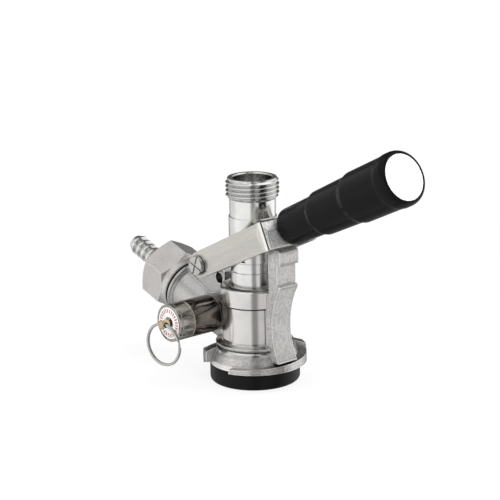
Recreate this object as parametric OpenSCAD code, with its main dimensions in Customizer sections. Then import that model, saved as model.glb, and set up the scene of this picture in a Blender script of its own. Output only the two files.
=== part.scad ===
// Keg coupler with a swinging lever, a sliding probe, a gas inlet and a relief valve.
// Millimetres. The probe stands on Z, the lever points along +X, the gas inlet
// along -X and the relief valve along -Y. Z is zero at the bottom of the base seal.

/* [Base seal] */
// Outer radius of the rubber base seal
seal_r = 19.5; // [18:0.1:22]
// Height of the base seal below the body
seal_h = 8; // [6:0.1:10]
// Radius of the hole in the base seal
seal_bore_r = 12.6; // [12:0.1:13.5]
// Radius of the rounded lower edge of the base seal
seal_round = 1.8; // [0.8:0.1:2.6]
// Outer radius of the lip that goes up into the body
seal_lip_r = 15.4; // [14.6:0.1:16.4]
// Height of the lip
seal_lip_h = 2.4; // [1.6:0.1:3.4]

/* [Body casting] */
// Height of the conical skirt
skirt_h = 8.4; // [7:0.1:11]
// Radius of the skirt at its top
skirt_top_r = 16.4; // [15.4:0.1:17.4]
// Radius of the bead over the skirt
bead_r = 16.8; // [16:0.1:18]
// Height of the bead
bead_h = 1.4; // [1:0.1:2.2]
// Radius of the barrel
barrel_r = 13.9; // [13.4:0.1:14.4]
// Height of the barrel from the bead to the collar
barrel_h = 16.9; // [15:0.1:20]
// Radius of the collar
collar_r = 14.7; // [14.2:0.1:16]
// Height of the collar
collar_h = 7.5; // [6.6:0.1:9]
// Radius of the gas chamber inside the barrel
chamber_r = 11.4; // [11:0.1:12]
// Radius of the gland bore in the collar
gland_r = 12.2; // [11.8:0.1:12.6]
// Height of the ledge that carries the O-ring
ledge_h = 1.4; // [1:0.1:2]

/* [Bayonet lugs] */
// Outer radius of the two lugs
lug_r = 22.45; // [21:0.05:24]
// Height of a lug at its thin end
lug_thin = 1.9; // [1.4:0.1:2.6]
// Height of a lug where it meets its stop
lug_thick = 4.3; // [3:0.1:5]
// Height of the stop block's outer side over the seal
stop_h = 6.6; // [5:0.1:8]
// Fall of the stop block's top towards its outer side
stop_fall = 1.6; // [0:0.1:2.4]
// Height of the stop block's lower face over the seal
stop_low = 1.6; // [0:0.1:2.4]
// Angle that one lug covers, stop block included
lug_sweep = 141; // [100:1:150]
// Angle that the stop block covers
stop_sweep = 15; // [8:1:24]
// Angle of the thin end, from +X
lug_start = -71; // [-90:1:-50]

/* [Rear column] */
// Half width of the column
column_half_w = 5.3; // [4:0.1:5.6]
// Inner face of the column, from the probe's axis
column_in = 15.8; // [15.2:0.1:16.6]
// Outer face of the column between its ledge and its hook
column_out = 21; // [20:0.1:21.6]
// Reach of the ledge
column_ledge = 22.6; // [22:0.1:23.4]
// Reach of the hook that holds the latch
hook_reach = 23; // [22:0.1:23.3]
// Height of the hook's lower face over the collar
hook_low = 12.8; // [11:0.1:14]
// Height of the column over the collar
column_rise = 19.6; // [18:0.1:20]
// Height of the ledge over the collar
ledge_rise = 3.8; // [2:0.1:6]
// Narrowest reach of the rib below the ledge
waist_reach = 17.5; // [16.6:0.1:18.4]
// Height of that waist over the seal's bottom
waist_z = 27.5; // [24:0.1:31]

/* [Hinge] */
// Distance of the hinge from the probe's axis
hinge_x = 21.3; // [20.8:0.1:23]
// Height of the hinge over the collar
hinge_rise = 6.6; // [6:0.1:8]
// Radius of the cast hinge barrel
hinge_barrel_r = 5; // [4:0.1:5.4]
// Radius of the hinge screws
hinge_screw_r = 2.5; // [2:0.1:3]
// Radius of the screws' heads
screw_head_r = 4.3; // [3.6:0.1:4.8]
// Height of the screws' heads
screw_head_h = 1.8; // [1.2:0.1:2.4]
// Depth of a hinge screw in the casting
screw_depth = 7; // [4:0.5:8]
// Half thickness of the web under the hinge
web_half_w = 4.6; // [4:0.1:6]
// Rise of the web over the collar
web_rise = 3.2; // [1:0.1:4]
// Half thickness of the web inside its round pockets
web_thin = 1.6; // [1:0.1:2.4]
// Radius of those pockets
pocket_r = 2.4; // [1.6:0.1:2.4]
// Distance of the pockets from the hinge, towards the probe
pocket_reach = 3.5; // [3.5:0.1:4]

/* [Lever] */
// Tilt of the lever at rest
lever_tilt = 25.5; // [24:0.5:27]
// Swing of the lever from rest to its lower stop
lever_swing = 20; // [12:1:20]
// Length of the arms from the hinge
arm_l = 48; // [47.8:0.1:50]
// Half height of an arm at the hinge
arm_root_r = 5.7; // [5.2:0.1:6]
// Height of an arm at its far end
arm_end_h = 12.4; // [11:0.1:13]
// Half of the gap between the arms
arm_gap = 10.8; // [10.7:0.1:11.4]
// Thickness of an arm
arm_t = 2.6; // [2:0.1:3.4]
// Half of the gap between the cheeks at the arms' far end
cheek_gap = 5.8; // [5.7:0.1:6.4]
// Length of the cheeks, back from the arms' far end
cheek_l = 9.2; // [7:0.1:9.2]
// Thickness of the web that closes the yoke
yoke_web_t = 1.2; // [1:0.1:1.4]
// Distance of the drive pins from the hinge
pin_reach = 22.7; // [22:0.1:24]
// Radius of the drive pins
pin_r = 2.4; // [2:0.1:2.6]
// Radius of the stem that carries the grip
stem_r = 3.3; // [3:0.1:3.8]
// Length of the stem beyond the arms
stem_l = 44; // [40:0.5:48]

/* [Latch] */
// Thickness of the latch block's rim
block_rim = 1.4; // [1:0.1:1.6]
// Rise of the block's middle ridge over its rim
block_ridge = 0.7; // [0.4:0.1:1]
// Height of the latch nose
nose_h = 3; // [2:0.1:3.3]
// Radius of the block's boss inside the grip
boss_r = 5; // [4.7:0.1:5.2]
// Length of that boss
boss_l = 9; // [6:0.5:12]
// Travel of the grip when it is pulled
grip_travel = 5; // [3:0.5:6]

/* [Grip] */
// Reach of the grip beyond the arms
grip_reach = 76; // [70:0.5:84]
// Radius of the grip's first stretch
grip_r_1 = 8.3; // [7.8:0.1:9]
// Radius of the second stretch
grip_r_2 = 9.7; // [9.2:0.1:10.3]
// Radius of the third stretch
grip_r_3 = 10.9; // [10.5:0.1:11.2]
// Radius of the end rim
grip_r_4 = 11.35; // [11.2:0.05:12]
// Length of the end rim's rounding
grip_round = 3; // [1:0.1:4]
// Height of the grip's axis over the hinge's line
grip_rise = 1; // [0.5:0.1:1.5]
// Radius of the end disc
disc_r = 9.5; // [8.5:0.1:10]

/* [Probe] */
// Radius of the probe in the gland
probe_slide_r = 9.75; // [9.5:0.05:9.9]
// Radius of the probe between the lever's arms
probe_waist_r = 10.3; // [10:0.1:10.35]
// Radius of the probe under its thread
probe_neck_r = 9.87; // [9.4:0.01:10.2]
// Radius of the beer thread, over its crests
thread_r = 11.455; // [11:0.005:12]
// Length of the threaded stretch
thread_l = 7.4; // [6:0.1:10]
// Height of the probe over the collar
probe_rise = 47.1; // [44:0.1:52]
// Radius of the mouth bore
mouth_r = 8.4; // [8:0.1:8.8]
// Depth of the mouth bore
mouth_depth = 10; // [6:0.5:14]
// Radius of the beer bore
beer_bore_r = 6.2; // [5.6:0.1:6.6]
// Height of the probe's lower end over the seal's bottom at rest
probe_tip = 2.6; // [2:0.1:4]
// Outer radius of the probe seal
probe_seal_r = 10.5; // [10:0.1:11]
// Height of the probe seal
probe_seal_h = 3.4; // [2.6:0.1:4]
// Radius of the check ball
ball_r = 4.6; // [4.2:0.1:5]
// Lift of the check ball
ball_lift = 3; // [2:0.1:3.5]

/* [Gas inlet] */
// Tilt of the inlet over the horizontal
inlet_tilt = 19; // [15:0.5:24]
// Distance of the inlet's foot from the probe's axis
inlet_foot = 14; // [13:0.1:15]
// Height of the inlet's foot over the seal's bottom
inlet_foot_z = 21.3; // [20:0.1:23]
// Radius of the cast inlet at its foot
inlet_root_r = 8.8; // [7.6:0.1:9.6]
// Radius of the cast inlet at its lip
inlet_end_r = 11.3; // [10.4:0.1:11.6]
// Radius of the lip
lip_r = 12.6; // [12:0.1:13.4]
// Length of the cast inlet up to the end of its lip
inlet_l = 32.3; // [31:0.1:36]
// Radius of the gas thread, over its crests
gas_thread_r = 11.3; // [11:0.1:11.4]
// Length of the gas thread
gas_thread_l = 9; // [8:0.1:10]
// Radius of the gas passage in the casting
gas_bore_r = 4.6; // [4:0.1:4.8]
// Width of the nut across its flats
nut_flats = 25.8; // [25:0.1:27]
// Length of the nut
nut_l = 17.2; // [16:0.1:19]
// Length of the nut's round collar
nut_collar_l = 3.2; // [1.6:0.1:4]
// Turn of the nut's flats round its axis
nut_turn = -5; // [-30:1:30]
// Radius of the barb's ridges
barb_r = 4.6; // [4.2:0.1:4.8]
// Radius of the barb between its ridges
barb_root_r = 3.7; // [3.4:0.1:3.9]
// Radius of the shank between the nut and the barb
shank_r = 4; // [3.8:0.1:4.4]
// Length of that shank
shank_l = 7.2; // [6:0.1:10]
// Number of ridges on the barb
barb_count = 4; // [3:1:5]
// Spacing of the ridges
barb_pitch = 3.7; // [3:0.1:4.2]
// Radius of the bore in the barb
barb_bore_r = 2.4; // [2:0.1:2.7]

/* [Relief valve] */
// Distance of the valve's axis from the probe's axis, along the inlet
valve_x = 19.5; // [19:0.1:20.5]
// Height of the valve's axis over the seal's bottom
valve_z = 26.8; // [26.4:0.1:27.4]
// Radius of the valve
valve_r = 8.2; // [7.8:0.05:8.3]
// Distance of the valve's shoulder from the middle plane
valve_foot = 9.6; // [9.5:0.1:10.4]
// Distance of the seam between the valve's body and its cap
valve_seam = 23.6; // [22:0.1:25]
// Distance of the valve's face
valve_face = 31.7; // [30:0.1:34]
// Radius of the cast seat under the valve
valve_boss_r = 8.1; // [7.6:0.1:8.2]
// Radius of the threaded stub under the valve
stub_r = 5.4; // [5.2:0.1:5.8]
// Length of that stub
stub_l = 4.4; // [4:0.1:4.5]
// Radius of the stem
valve_stem_r = 1.1; // [0.9:0.1:1.3]
// Travel of the stem when its ring is pulled
valve_travel = 3; // [2:0.1:4]
// Radius of the valve's disc
valve_disc_r = 7; // [6.4:0.1:7.2]
// Radius of the pull ring, to the middle of its wire
ring_r = 8.8; // [7:0.1:10]
// Radius of the ring's wire
ring_wire_r = 0.8; // [0.6:0.05:0.9]
// Turn of the ring round the vertical
ring_turn = 10; // [0:1:14]

/* [Hidden] */

// Smoothness of round faces, and of turned ones
$fn = 96;
// Overrun of every cut
over = 1;
// Radial clearance of a screwed or pushed fit
fit = 0.05;
// Radial clearance of a running fit
run = 0.1;
// Gap between pieces that only lie beside each other
gap = 0.3;
// Small edge break
edge = 0.5;

// Heights of the body, from the seal upwards
bead_z = seal_h + skirt_h;
barrel_z = bead_z + bead_h;
collar_z = barrel_z + barrel_h;
top_z = collar_z + collar_h;
// Height of the O-ring and of the ledge below it
oring_wire_r = (gland_r - probe_slide_r - run - fit) / 2;
oring_h = 2 * oring_wire_r;
bush_h = 2.9;
bush_rise = 0.6;
bush_z = top_z + bush_rise - bush_h;
ledge_top = bush_z - oring_h - fit;
chamber_top = ledge_top - ledge_h;
// The bush's narrower head, which leaves a dark ring round it
bush_head_r = 11;
// Groove between the barrel and the collar, and the one under the bead
groove = 0.45;
// Seat of the base seal's lip in the body
lip_seat_r = seal_lip_r + run;
lip_seat_h = seal_lip_h + run;

// Hinge and lever
hinge_z = top_z + hinge_rise;
pin_low_angle = 0.3;
pin_rest_angle = lever_swing + pin_low_angle;
probe_travel = pin_reach * (sin(pin_rest_angle) - sin(pin_low_angle));
pin_z = hinge_z + pin_reach * sin(pin_rest_angle);
pin_depth = 1.9;
pin_end = arm_gap - pin_depth;
flat_y = pin_end - gap;
arm_out = arm_gap + arm_t;
arm_play = 0.4;
barrel_half_w = arm_gap - arm_play;
// Cross slots of the hinge screws, and their turns
slot_w = 0.9;
slot_h = 0.8;
slot_turns = [20, 110];
// Crown of the arms' outer faces, and the bevel at their far ends
arm_crown = 0.3;
arm_crease_share = 0.12;
bevel_l = 4;
bevel_depth = 0.6;

// Latch and grip, along the lever
cheek_start = arm_l - cheek_l;
web_start = arm_l - yoke_web_t;
stem_end = arm_l + stem_l;
grip_end = arm_l + grip_reach;
block_start = arm_l + gap;
block_ridge_at = block_start + block_rim + block_ridge;
nose_reach = 0.4;
nose_end = web_start - nose_reach;
nose_half_w = column_half_w;
boss_end = block_ridge_at + boss_l;
grip_start = block_ridge_at + edge / 2;
washer_t = 1;
nut_t = 5;
nut_at = stem_end - nut_t - edge;
washer_at = nut_at - washer_t;
cavity_play = 0.9;
cavity_r = boss_r + cavity_play;
cavity_start = boss_end + edge;
cavity_end = stem_end + edge;
spring_wire_r = 0.45;
spring_play = 0.6;
spring_r = stem_r + spring_wire_r + spring_play;
stem_thread_r = 2.95;
// Stretches of the grip, as shares of its length
grip_step_shares = [0.02, 0.28, 0.315, 0.59, 0.63, 0.905, 0.932];
grip_taper = 0.25;
grip_lead_r = 6.6;
rim_t = 0.35;
disc_seat = 1.1;
disc_dome = 0.4;
disc_stud_r = 4;
disc_stud_l = 5;

// Probe, from its top downwards
probe_top = top_z + probe_rise;
thread_low = probe_top - edge - edge - thread_l;
thread_break = 0.75;
neck_l = 16.5;
neck_low = probe_top - neck_l;
// The waist stays clear of the bush when the probe is down
waist_spare = 2.6;
waist_low = top_z + bush_rise + probe_travel + waist_spare;
line_rise = 6.7;
line_z = top_z + line_rise;
line_depth = 0.3;
slide_drop = 2.6;
slide_low = chamber_top - slide_drop;
tube_r = 8.3;
foot_r = 9.3;
foot_h = 1.1;
seal_groove_r = 8.1;
mouth_break = 0.5;
cone_h = 3;
seat_r = 3.5;
seat_rise = 3.4;
seat_z = probe_tip + seat_rise;
seat_cone_h = beer_bore_r - seat_r;
ball_gap = 0.1;
// A ball on a cone of 45 degrees rests where the cone's face is one radius from its centre
ball_z = seat_z - seat_r + (ball_r + ball_gap) * sqrt(2);
retainer_z = ball_z + ball_r + ball_lift + gap;
retainer_h = 1.8;
retainer_bar = 1.6;
retainer_wall = 1;

// Gas inlet, along its own axis
nut_gap = 1.3;
nut_start = inlet_l + nut_gap;
nut_end = nut_start + nut_l;
gas_thread_end = inlet_l + gas_thread_l;
valve_pocket_r = 7.6;
valve_pocket_h = 2;
duckbill_l = 7;
duckbill_wall = 1;
duckbill_lip = 1.2;
gas_washer_t = 1.6;
gas_washer_r = 9.4;
flange_r = 10.6;
flange_t = 2.6;
flange_at = gas_thread_end + gas_washer_t;
shoulder_at = flange_at + flange_t + fit;
tail_r = 5.2;
tail_rise = 0.8;
tail_end = nut_end + tail_rise;
barb_start = tail_end + shank_l;
barb_end = barb_start + barb_count * barb_pitch;
barb_tip_r = 3.4;
lip_h = 1.5;
nut_collar_r = nut_flats / 2;
nut_chamfer = 1.5;

// Relief valve, outwards from the middle plane
gasket_t = 0.6;
gasket_r = stub_r + gasket_t * 2;
stub_floor = 1.8;
valve_port_r = 1.8;
valve_wall = 1.8;
seat_at = valve_foot - stub_l + stub_floor;
poppet_r = 3;
poppet_t = 1.6;
stub_bore_r = stub_r - valve_wall / 2;
cap_spigot = 3;
spring_seat = valve_seam - cap_spigot;
disc_t = 0.6;
disc_hole_r = 2.7;
eye_r = 1.8;
eye_reach = 3;
eye_at = valve_face + eye_reach;
eye_start = valve_face + gap;
eye_play = 0.35;
eye_hole_r = ring_wire_r + eye_play;
relief_wire_r = 0.4;
relief_coil_play = 0.7;
relief_coil_r = valve_stem_r + relief_wire_r + relief_coil_play;
rim_line = 0.35;
// The stem's thicker stretch, which stops at the cap when the ring is pulled
stem_stop_step = 0.3;
stem_stop_at = valve_seam - edge - valve_travel;

// Places children in the lever's frame: X along the lever, Z across it
module in_lever() {
    translate([-hinge_x, 0, hinge_z]) rotate([0, -lever_tilt, 0]) children();
}

// Places children on the grip's axis, with Z along it
module on_grip() {
    in_lever() translate([0, 0, grip_rise]) rotate([0, 90, 0]) children();
}

// Places children on the gas inlet's axis, with Z outwards
module on_inlet() {
    translate([-inlet_foot, 0, inlet_foot_z]) rotate([0, inlet_tilt - 90, 0]) children();
}

// Places children on the relief valve's axis, with Z outwards
module on_valve() {
    translate([-valve_x, 0, valve_z]) rotate([90, 0, 0]) children();
}

// A turned piece from points of radius and height
module turned(points) {
    rotate_extrude() polygon(points);
}

// A straight round bar between two heights
module bar(r, low, high) {
    translate([0, 0, low]) cylinder(r = r, h = high - low);
}

// A ring between two heights
module tube(r_out, r_in, low, high) {
    difference() {
        bar(r_out, low, high);
        bar(r_in, low - over, high + over);
    }
}

// Both of a pair on the two sides of the XZ plane
module both_sides() {
    children();
    mirror([0, 1, 0]) children();
}

// Corner points of the ring of a wire at turn a and height z, in six sides
wire_sides = 6;
rings_a_turn = 8;
function wire_ring(r, wire, a, z) = [
    for (k = [0:wire_sides - 1])
        let (b = 360 * k / wire_sides, q = r + wire * cos(b))
        [q * cos(a), q * sin(a), z + wire * sin(b)]
];

// Least gap of a coil to itself, measured between the middles of its rings
function coil_gap(r, wire, turns, rise) =
    let (n = turns * rings_a_turn, far = rings_a_turn * 3 / 4)
    min([
        for (i = [0:n], j = [i + far:n])
            let (da = 360 * (j - i) / rings_a_turn, dz = rise * (j - i) / rings_a_turn)
            sqrt(pow(2 * r * sin(da / 2), 2) + dz * dz)
    ]) - 2 * wire;

// A coil of round wire from height low to height high, as one unbroken tube
module coil(r, wire, turns, low, high, name) {
    n = turns * rings_a_turn;
    rise = (high - low - 2 * wire) / turns;
    points = [
        for (i = [0:n])
            each wire_ring(r, wire, 360 * i / rings_a_turn, low + wire + rise * i / rings_a_turn)
    ];
    last = n * wire_sides;
    walls = [
        for (i = [0:n - 1], k = [0:wire_sides - 1])
            let (a = i * wire_sides + k, b = i * wire_sides + (k + 1) % wire_sides)
            each [[a, b, a + wire_sides], [b, b + wire_sides, a + wire_sides]]
    ];
    caps = [
        for (k = [1:wire_sides - 2])
            each [[0, k + 1, k], [last, last + k, last + k + 1]]
    ];
    echo(str(name, " least gap of the coil to itself, mm: "), coil_gap(r, wire, turns, rise));
    polyhedron(points = points, faces = concat(walls, caps), convexity = 10);
}

// One bayonet lug with a helical top, whose inner side is inside the skirt
lug_steps = 24;
lug_root = 1.6;
lug_in = seal_lip_r + lug_root;
// Share of the stop block that the lug reaches into
lug_overlap_share = 0.1;
module helical_lug(start, sweep, low, height_1, height_2) {
    points = [
        for (i = [0:lug_steps])
            let (a = start + sweep * i / lug_steps, h = height_1 + (height_2 - height_1) * i / lug_steps)
            each [
                [lug_in * cos(a), lug_in * sin(a), low],
                [lug_r * cos(a), lug_r * sin(a), low],
                [lug_r * cos(a), lug_r * sin(a), low + h],
                [lug_in * cos(a), lug_in * sin(a), low + h]
            ]
    ];
    corners = 4;
    walls = [
        for (i = [0:lug_steps - 1], k = [0:corners - 1])
            let (a = i * corners + k, b = i * corners + (k + 1) % corners)
            each [[a, b, a + corners], [b, b + corners, a + corners]]
    ];
    last = lug_steps * corners;
    ends = [[0, 2, 1], [0, 3, 2], [last, last + 1, last + 2], [last, last + 2, last + 3]];
    polyhedron(points = points, faces = concat(walls, ends), convexity = 4);
}

module lug(start) {
    stop_start = lug_sweep - stop_sweep;
    helical_lug(start, stop_start + stop_sweep * lug_overlap_share, seal_h, lug_thin, lug_thick);
    rotate([0, 0, start + stop_start]) rotate_extrude(angle = stop_sweep)
        polygon([
            [lug_in, seal_h + stop_low],
            [lug_r - edge, seal_h + stop_low],
            [lug_r, seal_h + stop_low + edge],
            [lug_r, seal_h + stop_h - edge],
            [lug_r - edge, seal_h + stop_h],
            [lug_in, seal_h + stop_h + stop_fall]
        ]);
}

// The turned outside of the body, from the seal to the collar
skirt_shares = [[0.35, 0.15], [0.62, 0.42], [0.86, 0.74]];
module body_outside() {
    flare = seal_r - skirt_top_r;
    turned([
        [0, seal_h],
        [seal_r, seal_h],
        for (s = skirt_shares) [seal_r - flare * s[1], seal_h + skirt_h * s[0]],
        [skirt_top_r, bead_z - groove],
        [skirt_top_r, bead_z],
        [bead_r, bead_z + edge / 2],
        [bead_r, barrel_z - edge / 2],
        [barrel_r + edge * 3, barrel_z],
        [barrel_r + edge, barrel_z + edge],
        [barrel_r, barrel_z + edge * 3],
        [barrel_r, collar_z - groove],
        [barrel_r - groove / 2, collar_z - groove / 2],
        [barrel_r, collar_z],
        [collar_r - edge / 2, collar_z],
        [collar_r, collar_z + edge / 2],
        [collar_r, top_z - edge],
        [collar_r - edge, top_z],
        [0, top_z]
    ]);
}

// The column's side view: foot, ledge, neck and hook
column_foot_z = 12;
module column_outline() {
    difference() {
        polygon([
            [barrel_r - edge, column_foot_z],
            [column_ledge, column_foot_z],
            [column_ledge, top_z + ledge_rise - edge],
            [column_ledge - edge, top_z + ledge_rise],
            [column_out, top_z + ledge_rise],
            [column_out, top_z + hook_low],
            [hook_reach - edge, top_z + hook_low],
            [hook_reach, top_z + hook_low + edge],
            [hook_reach, top_z + column_rise - edge * 2],
            [hook_reach - edge * 2, top_z + column_rise],
            [column_in + edge, top_z + column_rise],
            [column_in, top_z + column_rise - edge],
            [column_in, top_z - edge],
            [barrel_r - edge, top_z - edge]
        ]);
        // The hollow back of the rib is one arc through its waist and the ledge
        rise = top_z + ledge_rise - edge * 2 - waist_z;
        reach = column_ledge - waist_reach;
        waist_r = (rise * rise + reach * reach) / (2 * reach);
        translate([waist_reach + waist_r, waist_z]) circle(r = waist_r, $fn = 360);
    }
}

// The web's side view: from the inlet's lip over the hinge barrel to the collar
web_back_shares = [-0.5, 0.8];
web_front_shares = [0.9, -0.3];
module hinge_web_outline() {
    // The web ends inside the lip, one edge break in from its faces
    lip_at = inlet_l - lip_h + edge;
    lip_x = -inlet_foot - lip_at * cos(inlet_tilt);
    lip_z = inlet_foot_z + lip_at * sin(inlet_tilt);
    polygon([
        [-hinge_x + hinge_barrel_r * web_back_shares[0], hinge_z + hinge_barrel_r * web_back_shares[1]],
        [lip_x + (lip_r - edge) * sin(inlet_tilt), lip_z + (lip_r - edge) * cos(inlet_tilt)],
        [lip_x, lip_z],
        [-barrel_r + edge * 2, inlet_foot_z],
        [-barrel_r + edge * 2, top_z - edge * 2],
        [-collar_r + edge, top_z - edge],
        [-collar_r + edge, top_z + web_rise],
        [-hinge_x + hinge_barrel_r * web_front_shares[0], hinge_z + hinge_barrel_r * web_front_shares[1]]
    ]);
}

// The cast gas inlet with its lip and plain thread stretch
module inlet_outside() {
    turned([
        [0, -barrel_r / 2],
        [inlet_root_r, -barrel_r / 2],
        [inlet_root_r, inlet_root_r / 2],
        [inlet_end_r, inlet_l - lip_h - edge * 2],
        [lip_r - edge, inlet_l - lip_h],
        [lip_r, inlet_l - lip_h + edge],
        [lip_r, inlet_l],
        [gas_thread_r - edge, inlet_l],
        [gas_thread_r - edge, inlet_l + edge * 2],
        [gas_thread_r, inlet_l + edge * 3],
        [gas_thread_r, gas_thread_end - edge],
        [gas_thread_r - edge, gas_thread_end],
        [0, gas_thread_end]
    ]);
}

module body() {
    color("silver") difference() {
        union() {
            body_outside();
            lug(lug_start);
            lug(lug_start + 180);
            translate([0, column_half_w, 0]) rotate([90, 0, 0])
                linear_extrude(2 * column_half_w) column_outline();
            translate([0, web_half_w, 0]) rotate([90, 0, 0])
                linear_extrude(2 * web_half_w) hinge_web_outline();
            translate([-hinge_x, barrel_half_w, hinge_z]) rotate([90, 0, 0])
                cylinder(r = hinge_barrel_r, h = 2 * barrel_half_w);
            on_inlet() inlet_outside();
            on_valve() bar(valve_boss_r, 0, valve_foot - gasket_t);
        }
        // Gas chamber, gland, mouth and the seat of the seal's lip
        turned([
            [0, seal_h - over],
            [lip_seat_r, seal_h - over],
            [lip_seat_r, seal_h + lip_seat_h],
            [chamber_r, seal_h + lip_seat_h],
            [chamber_r, chamber_top],
            [probe_slide_r + run * 2, chamber_top],
            [probe_slide_r + run * 2, ledge_top],
            [gland_r, ledge_top],
            [gland_r, top_z - edge * 3],
            [collar_r - edge * 2, top_z - edge / 2],
            [collar_r - edge * 2, top_z + over],
            [0, top_z + over]
        ]);
        // Gas passage with the pocket of its check valve
        on_inlet() {
            bar(gas_bore_r, 0, gas_thread_end + over);
            bar(valve_pocket_r, gas_thread_end - valve_pocket_h, gas_thread_end + over);
        }
        // Spot face, threaded seat and port of the relief valve
        on_valve() {
            bar(valve_r + gap, valve_foot - gasket_t, valve_foot + over);
            bar(stub_r + fit, valve_foot - stub_l - gap, valve_foot + over);
            bar(valve_port_r, 0, valve_foot);
        }
        // Round pockets on both sides of the web
        both_sides() translate([-hinge_x + pocket_reach, web_half_w + over, top_z])
            rotate([90, 0, 0]) cylinder(r = pocket_r, h = web_half_w + over - web_thin);
        // Seats of the two hinge screws
        both_sides() translate([-hinge_x, barrel_half_w + over, hinge_z]) rotate([90, 0, 0])
            cylinder(r = hinge_screw_r + fit, h = screw_depth + over);
    }
}

module base_seal() {
    round_steps = 8;
    color([0.06, 0.06, 0.07]) turned([
        [seal_bore_r, edge],
        [seal_bore_r + edge, 0],
        for (i = [0:round_steps])
            let (a = 90 * i / round_steps)
            [seal_r - seal_round + seal_round * sin(a), seal_round - seal_round * cos(a)],
        [seal_r, seal_h],
        [seal_lip_r, seal_h],
        [seal_lip_r, seal_h + seal_lip_h],
        [seal_bore_r, seal_h + seal_lip_h]
    ]);
}

module gland_bush() {
    color("gainsboro") turned([
        [probe_slide_r + run, bush_z],
        [gland_r - fit, bush_z],
        [gland_r - fit, bush_z + bush_h / 3],
        [bush_head_r, bush_z + bush_h / 2],
        [bush_head_r, bush_z + bush_h - edge / 2],
        [bush_head_r - edge / 2, bush_z + bush_h],
        [probe_slide_r + run, bush_z + bush_h]
    ]);
}

module body_oring() {
    color([0.05, 0.05, 0.05]) translate([0, 0, ledge_top + oring_wire_r + fit / 2])
        rotate_extrude() translate([probe_slide_r + run + oring_wire_r, 0])
            circle(r = oring_wire_r, $fn = 32);
}

// The outside of the probe, from its foot to the beer thread
module probe_outside() {
    foot_top = probe_tip + foot_h;
    groove_top = foot_top + probe_seal_h;
    turned([
        [0, probe_tip],
        [foot_r - edge, probe_tip],
        [foot_r, probe_tip + edge],
        [foot_r, foot_top],
        [seal_groove_r, foot_top],
        [seal_groove_r, groove_top],
        [foot_r, groove_top],
        [foot_r, groove_top + foot_h],
        [tube_r, groove_top + foot_h * 2],
        [tube_r, slide_low - edge * 3],
        [probe_slide_r, slide_low],
        [probe_slide_r, line_z - line_depth],
        [probe_slide_r - line_depth, line_z],
        [probe_slide_r, line_z + line_depth],
        [probe_slide_r, waist_low],
        [probe_waist_r - edge / 2, waist_low],
        [probe_waist_r, waist_low + edge / 2],
        [probe_waist_r, neck_low - edge / 2],
        [probe_neck_r, neck_low],
        [probe_neck_r, thread_low - thread_break],
        [thread_r, thread_low + thread_break],
        [thread_r, probe_top - edge * 2 - thread_break / 2],
        [thread_r - thread_break, probe_top - edge],
        [thread_r - thread_break, probe_top - edge / 2],
        [thread_r - thread_break - edge / 2, probe_top],
        [0, probe_top]
    ]);
}

module probe() {
    color("whitesmoke") difference() {
        probe_outside();
        turned([
            [0, probe_tip - over],
            [seat_r, probe_tip - over],
            [seat_r, seat_z],
            [beer_bore_r, seat_z + seat_cone_h],
            [beer_bore_r, probe_top - mouth_depth - cone_h],
            [mouth_r, probe_top - mouth_depth],
            [mouth_r, probe_top - mouth_break],
            [mouth_r + mouth_break, probe_top],
            [mouth_r + mouth_break, probe_top + over],
            [0, probe_top + over]
        ]);
        // The two flats that the lever's pins work in
        both_sides() translate([-probe_waist_r, flat_y, pin_z - pin_r - gap])
            cube([2 * probe_waist_r, probe_waist_r, 2 * (pin_r + gap)]);
    }
}

module probe_seal() {
    low = probe_tip + foot_h;
    color([0.05, 0.05, 0.05]) turned([
        [seal_groove_r + fit, low + fit],
        [probe_seal_r - edge * 2, low + fit],
        [probe_seal_r, low + edge * 2],
        [probe_seal_r, low + probe_seal_h - edge],
        [probe_seal_r - edge, low + probe_seal_h - fit],
        [seal_groove_r + fit, low + probe_seal_h - fit]
    ]);
}

module check_ball() {
    color("white") translate([0, 0, ball_z]) sphere(r = ball_r);
}

module ball_retainer() {
    color("silver") {
        tube(beer_bore_r - fit, beer_bore_r - retainer_wall, retainer_z, retainer_z + retainer_h);
        intersection() {
            bar(beer_bore_r - fit, retainer_z, retainer_z + retainer_h);
            translate([-beer_bore_r, -retainer_bar / 2, retainer_z])
                cube([2 * beer_bore_r, retainer_bar, retainer_h]);
        }
    }
}

// Side view of one arm: a round end on the hinge that widens along the lever
module arm_outline() {
    circle(r = arm_root_r);
    polygon([
        [0, -arm_root_r],
        [arm_l, -arm_end_h / 2],
        [arm_l, arm_end_h / 2],
        [0, arm_root_r]
    ]);
}

// Plan of one arm, with the bevel at its far end
module arm_plan() {
    polygon([
        [-arm_root_r - over, arm_gap],
        [arm_l, arm_gap],
        [arm_l, arm_out - bevel_depth],
        [arm_l - bevel_l, arm_out],
        [-arm_root_r - over, arm_out]
    ]);
}

// Cross-section of one arm, with a crease along its outer face
module arm_section() {
    half = arm_end_h / 2 + edge;
    polygon([
        [arm_gap, -half],
        [arm_out - arm_crown, -half],
        [arm_out, half * arm_crease_share],
        [arm_out - arm_crown, half],
        [arm_gap, half]
    ]);
}

module arm() {
    intersection() {
        translate([0, arm_out + over, 0]) rotate([90, 0, 0]) linear_extrude(arm_out + over) arm_outline();
        translate([0, 0, -arm_end_h]) linear_extrude(2 * arm_end_h) arm_plan();
        translate([-arm_root_r - over, 0, 0]) rotate([90, 0, 90])
            linear_extrude(arm_l + arm_root_r + 2 * over) arm_section();
    }
}

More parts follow.
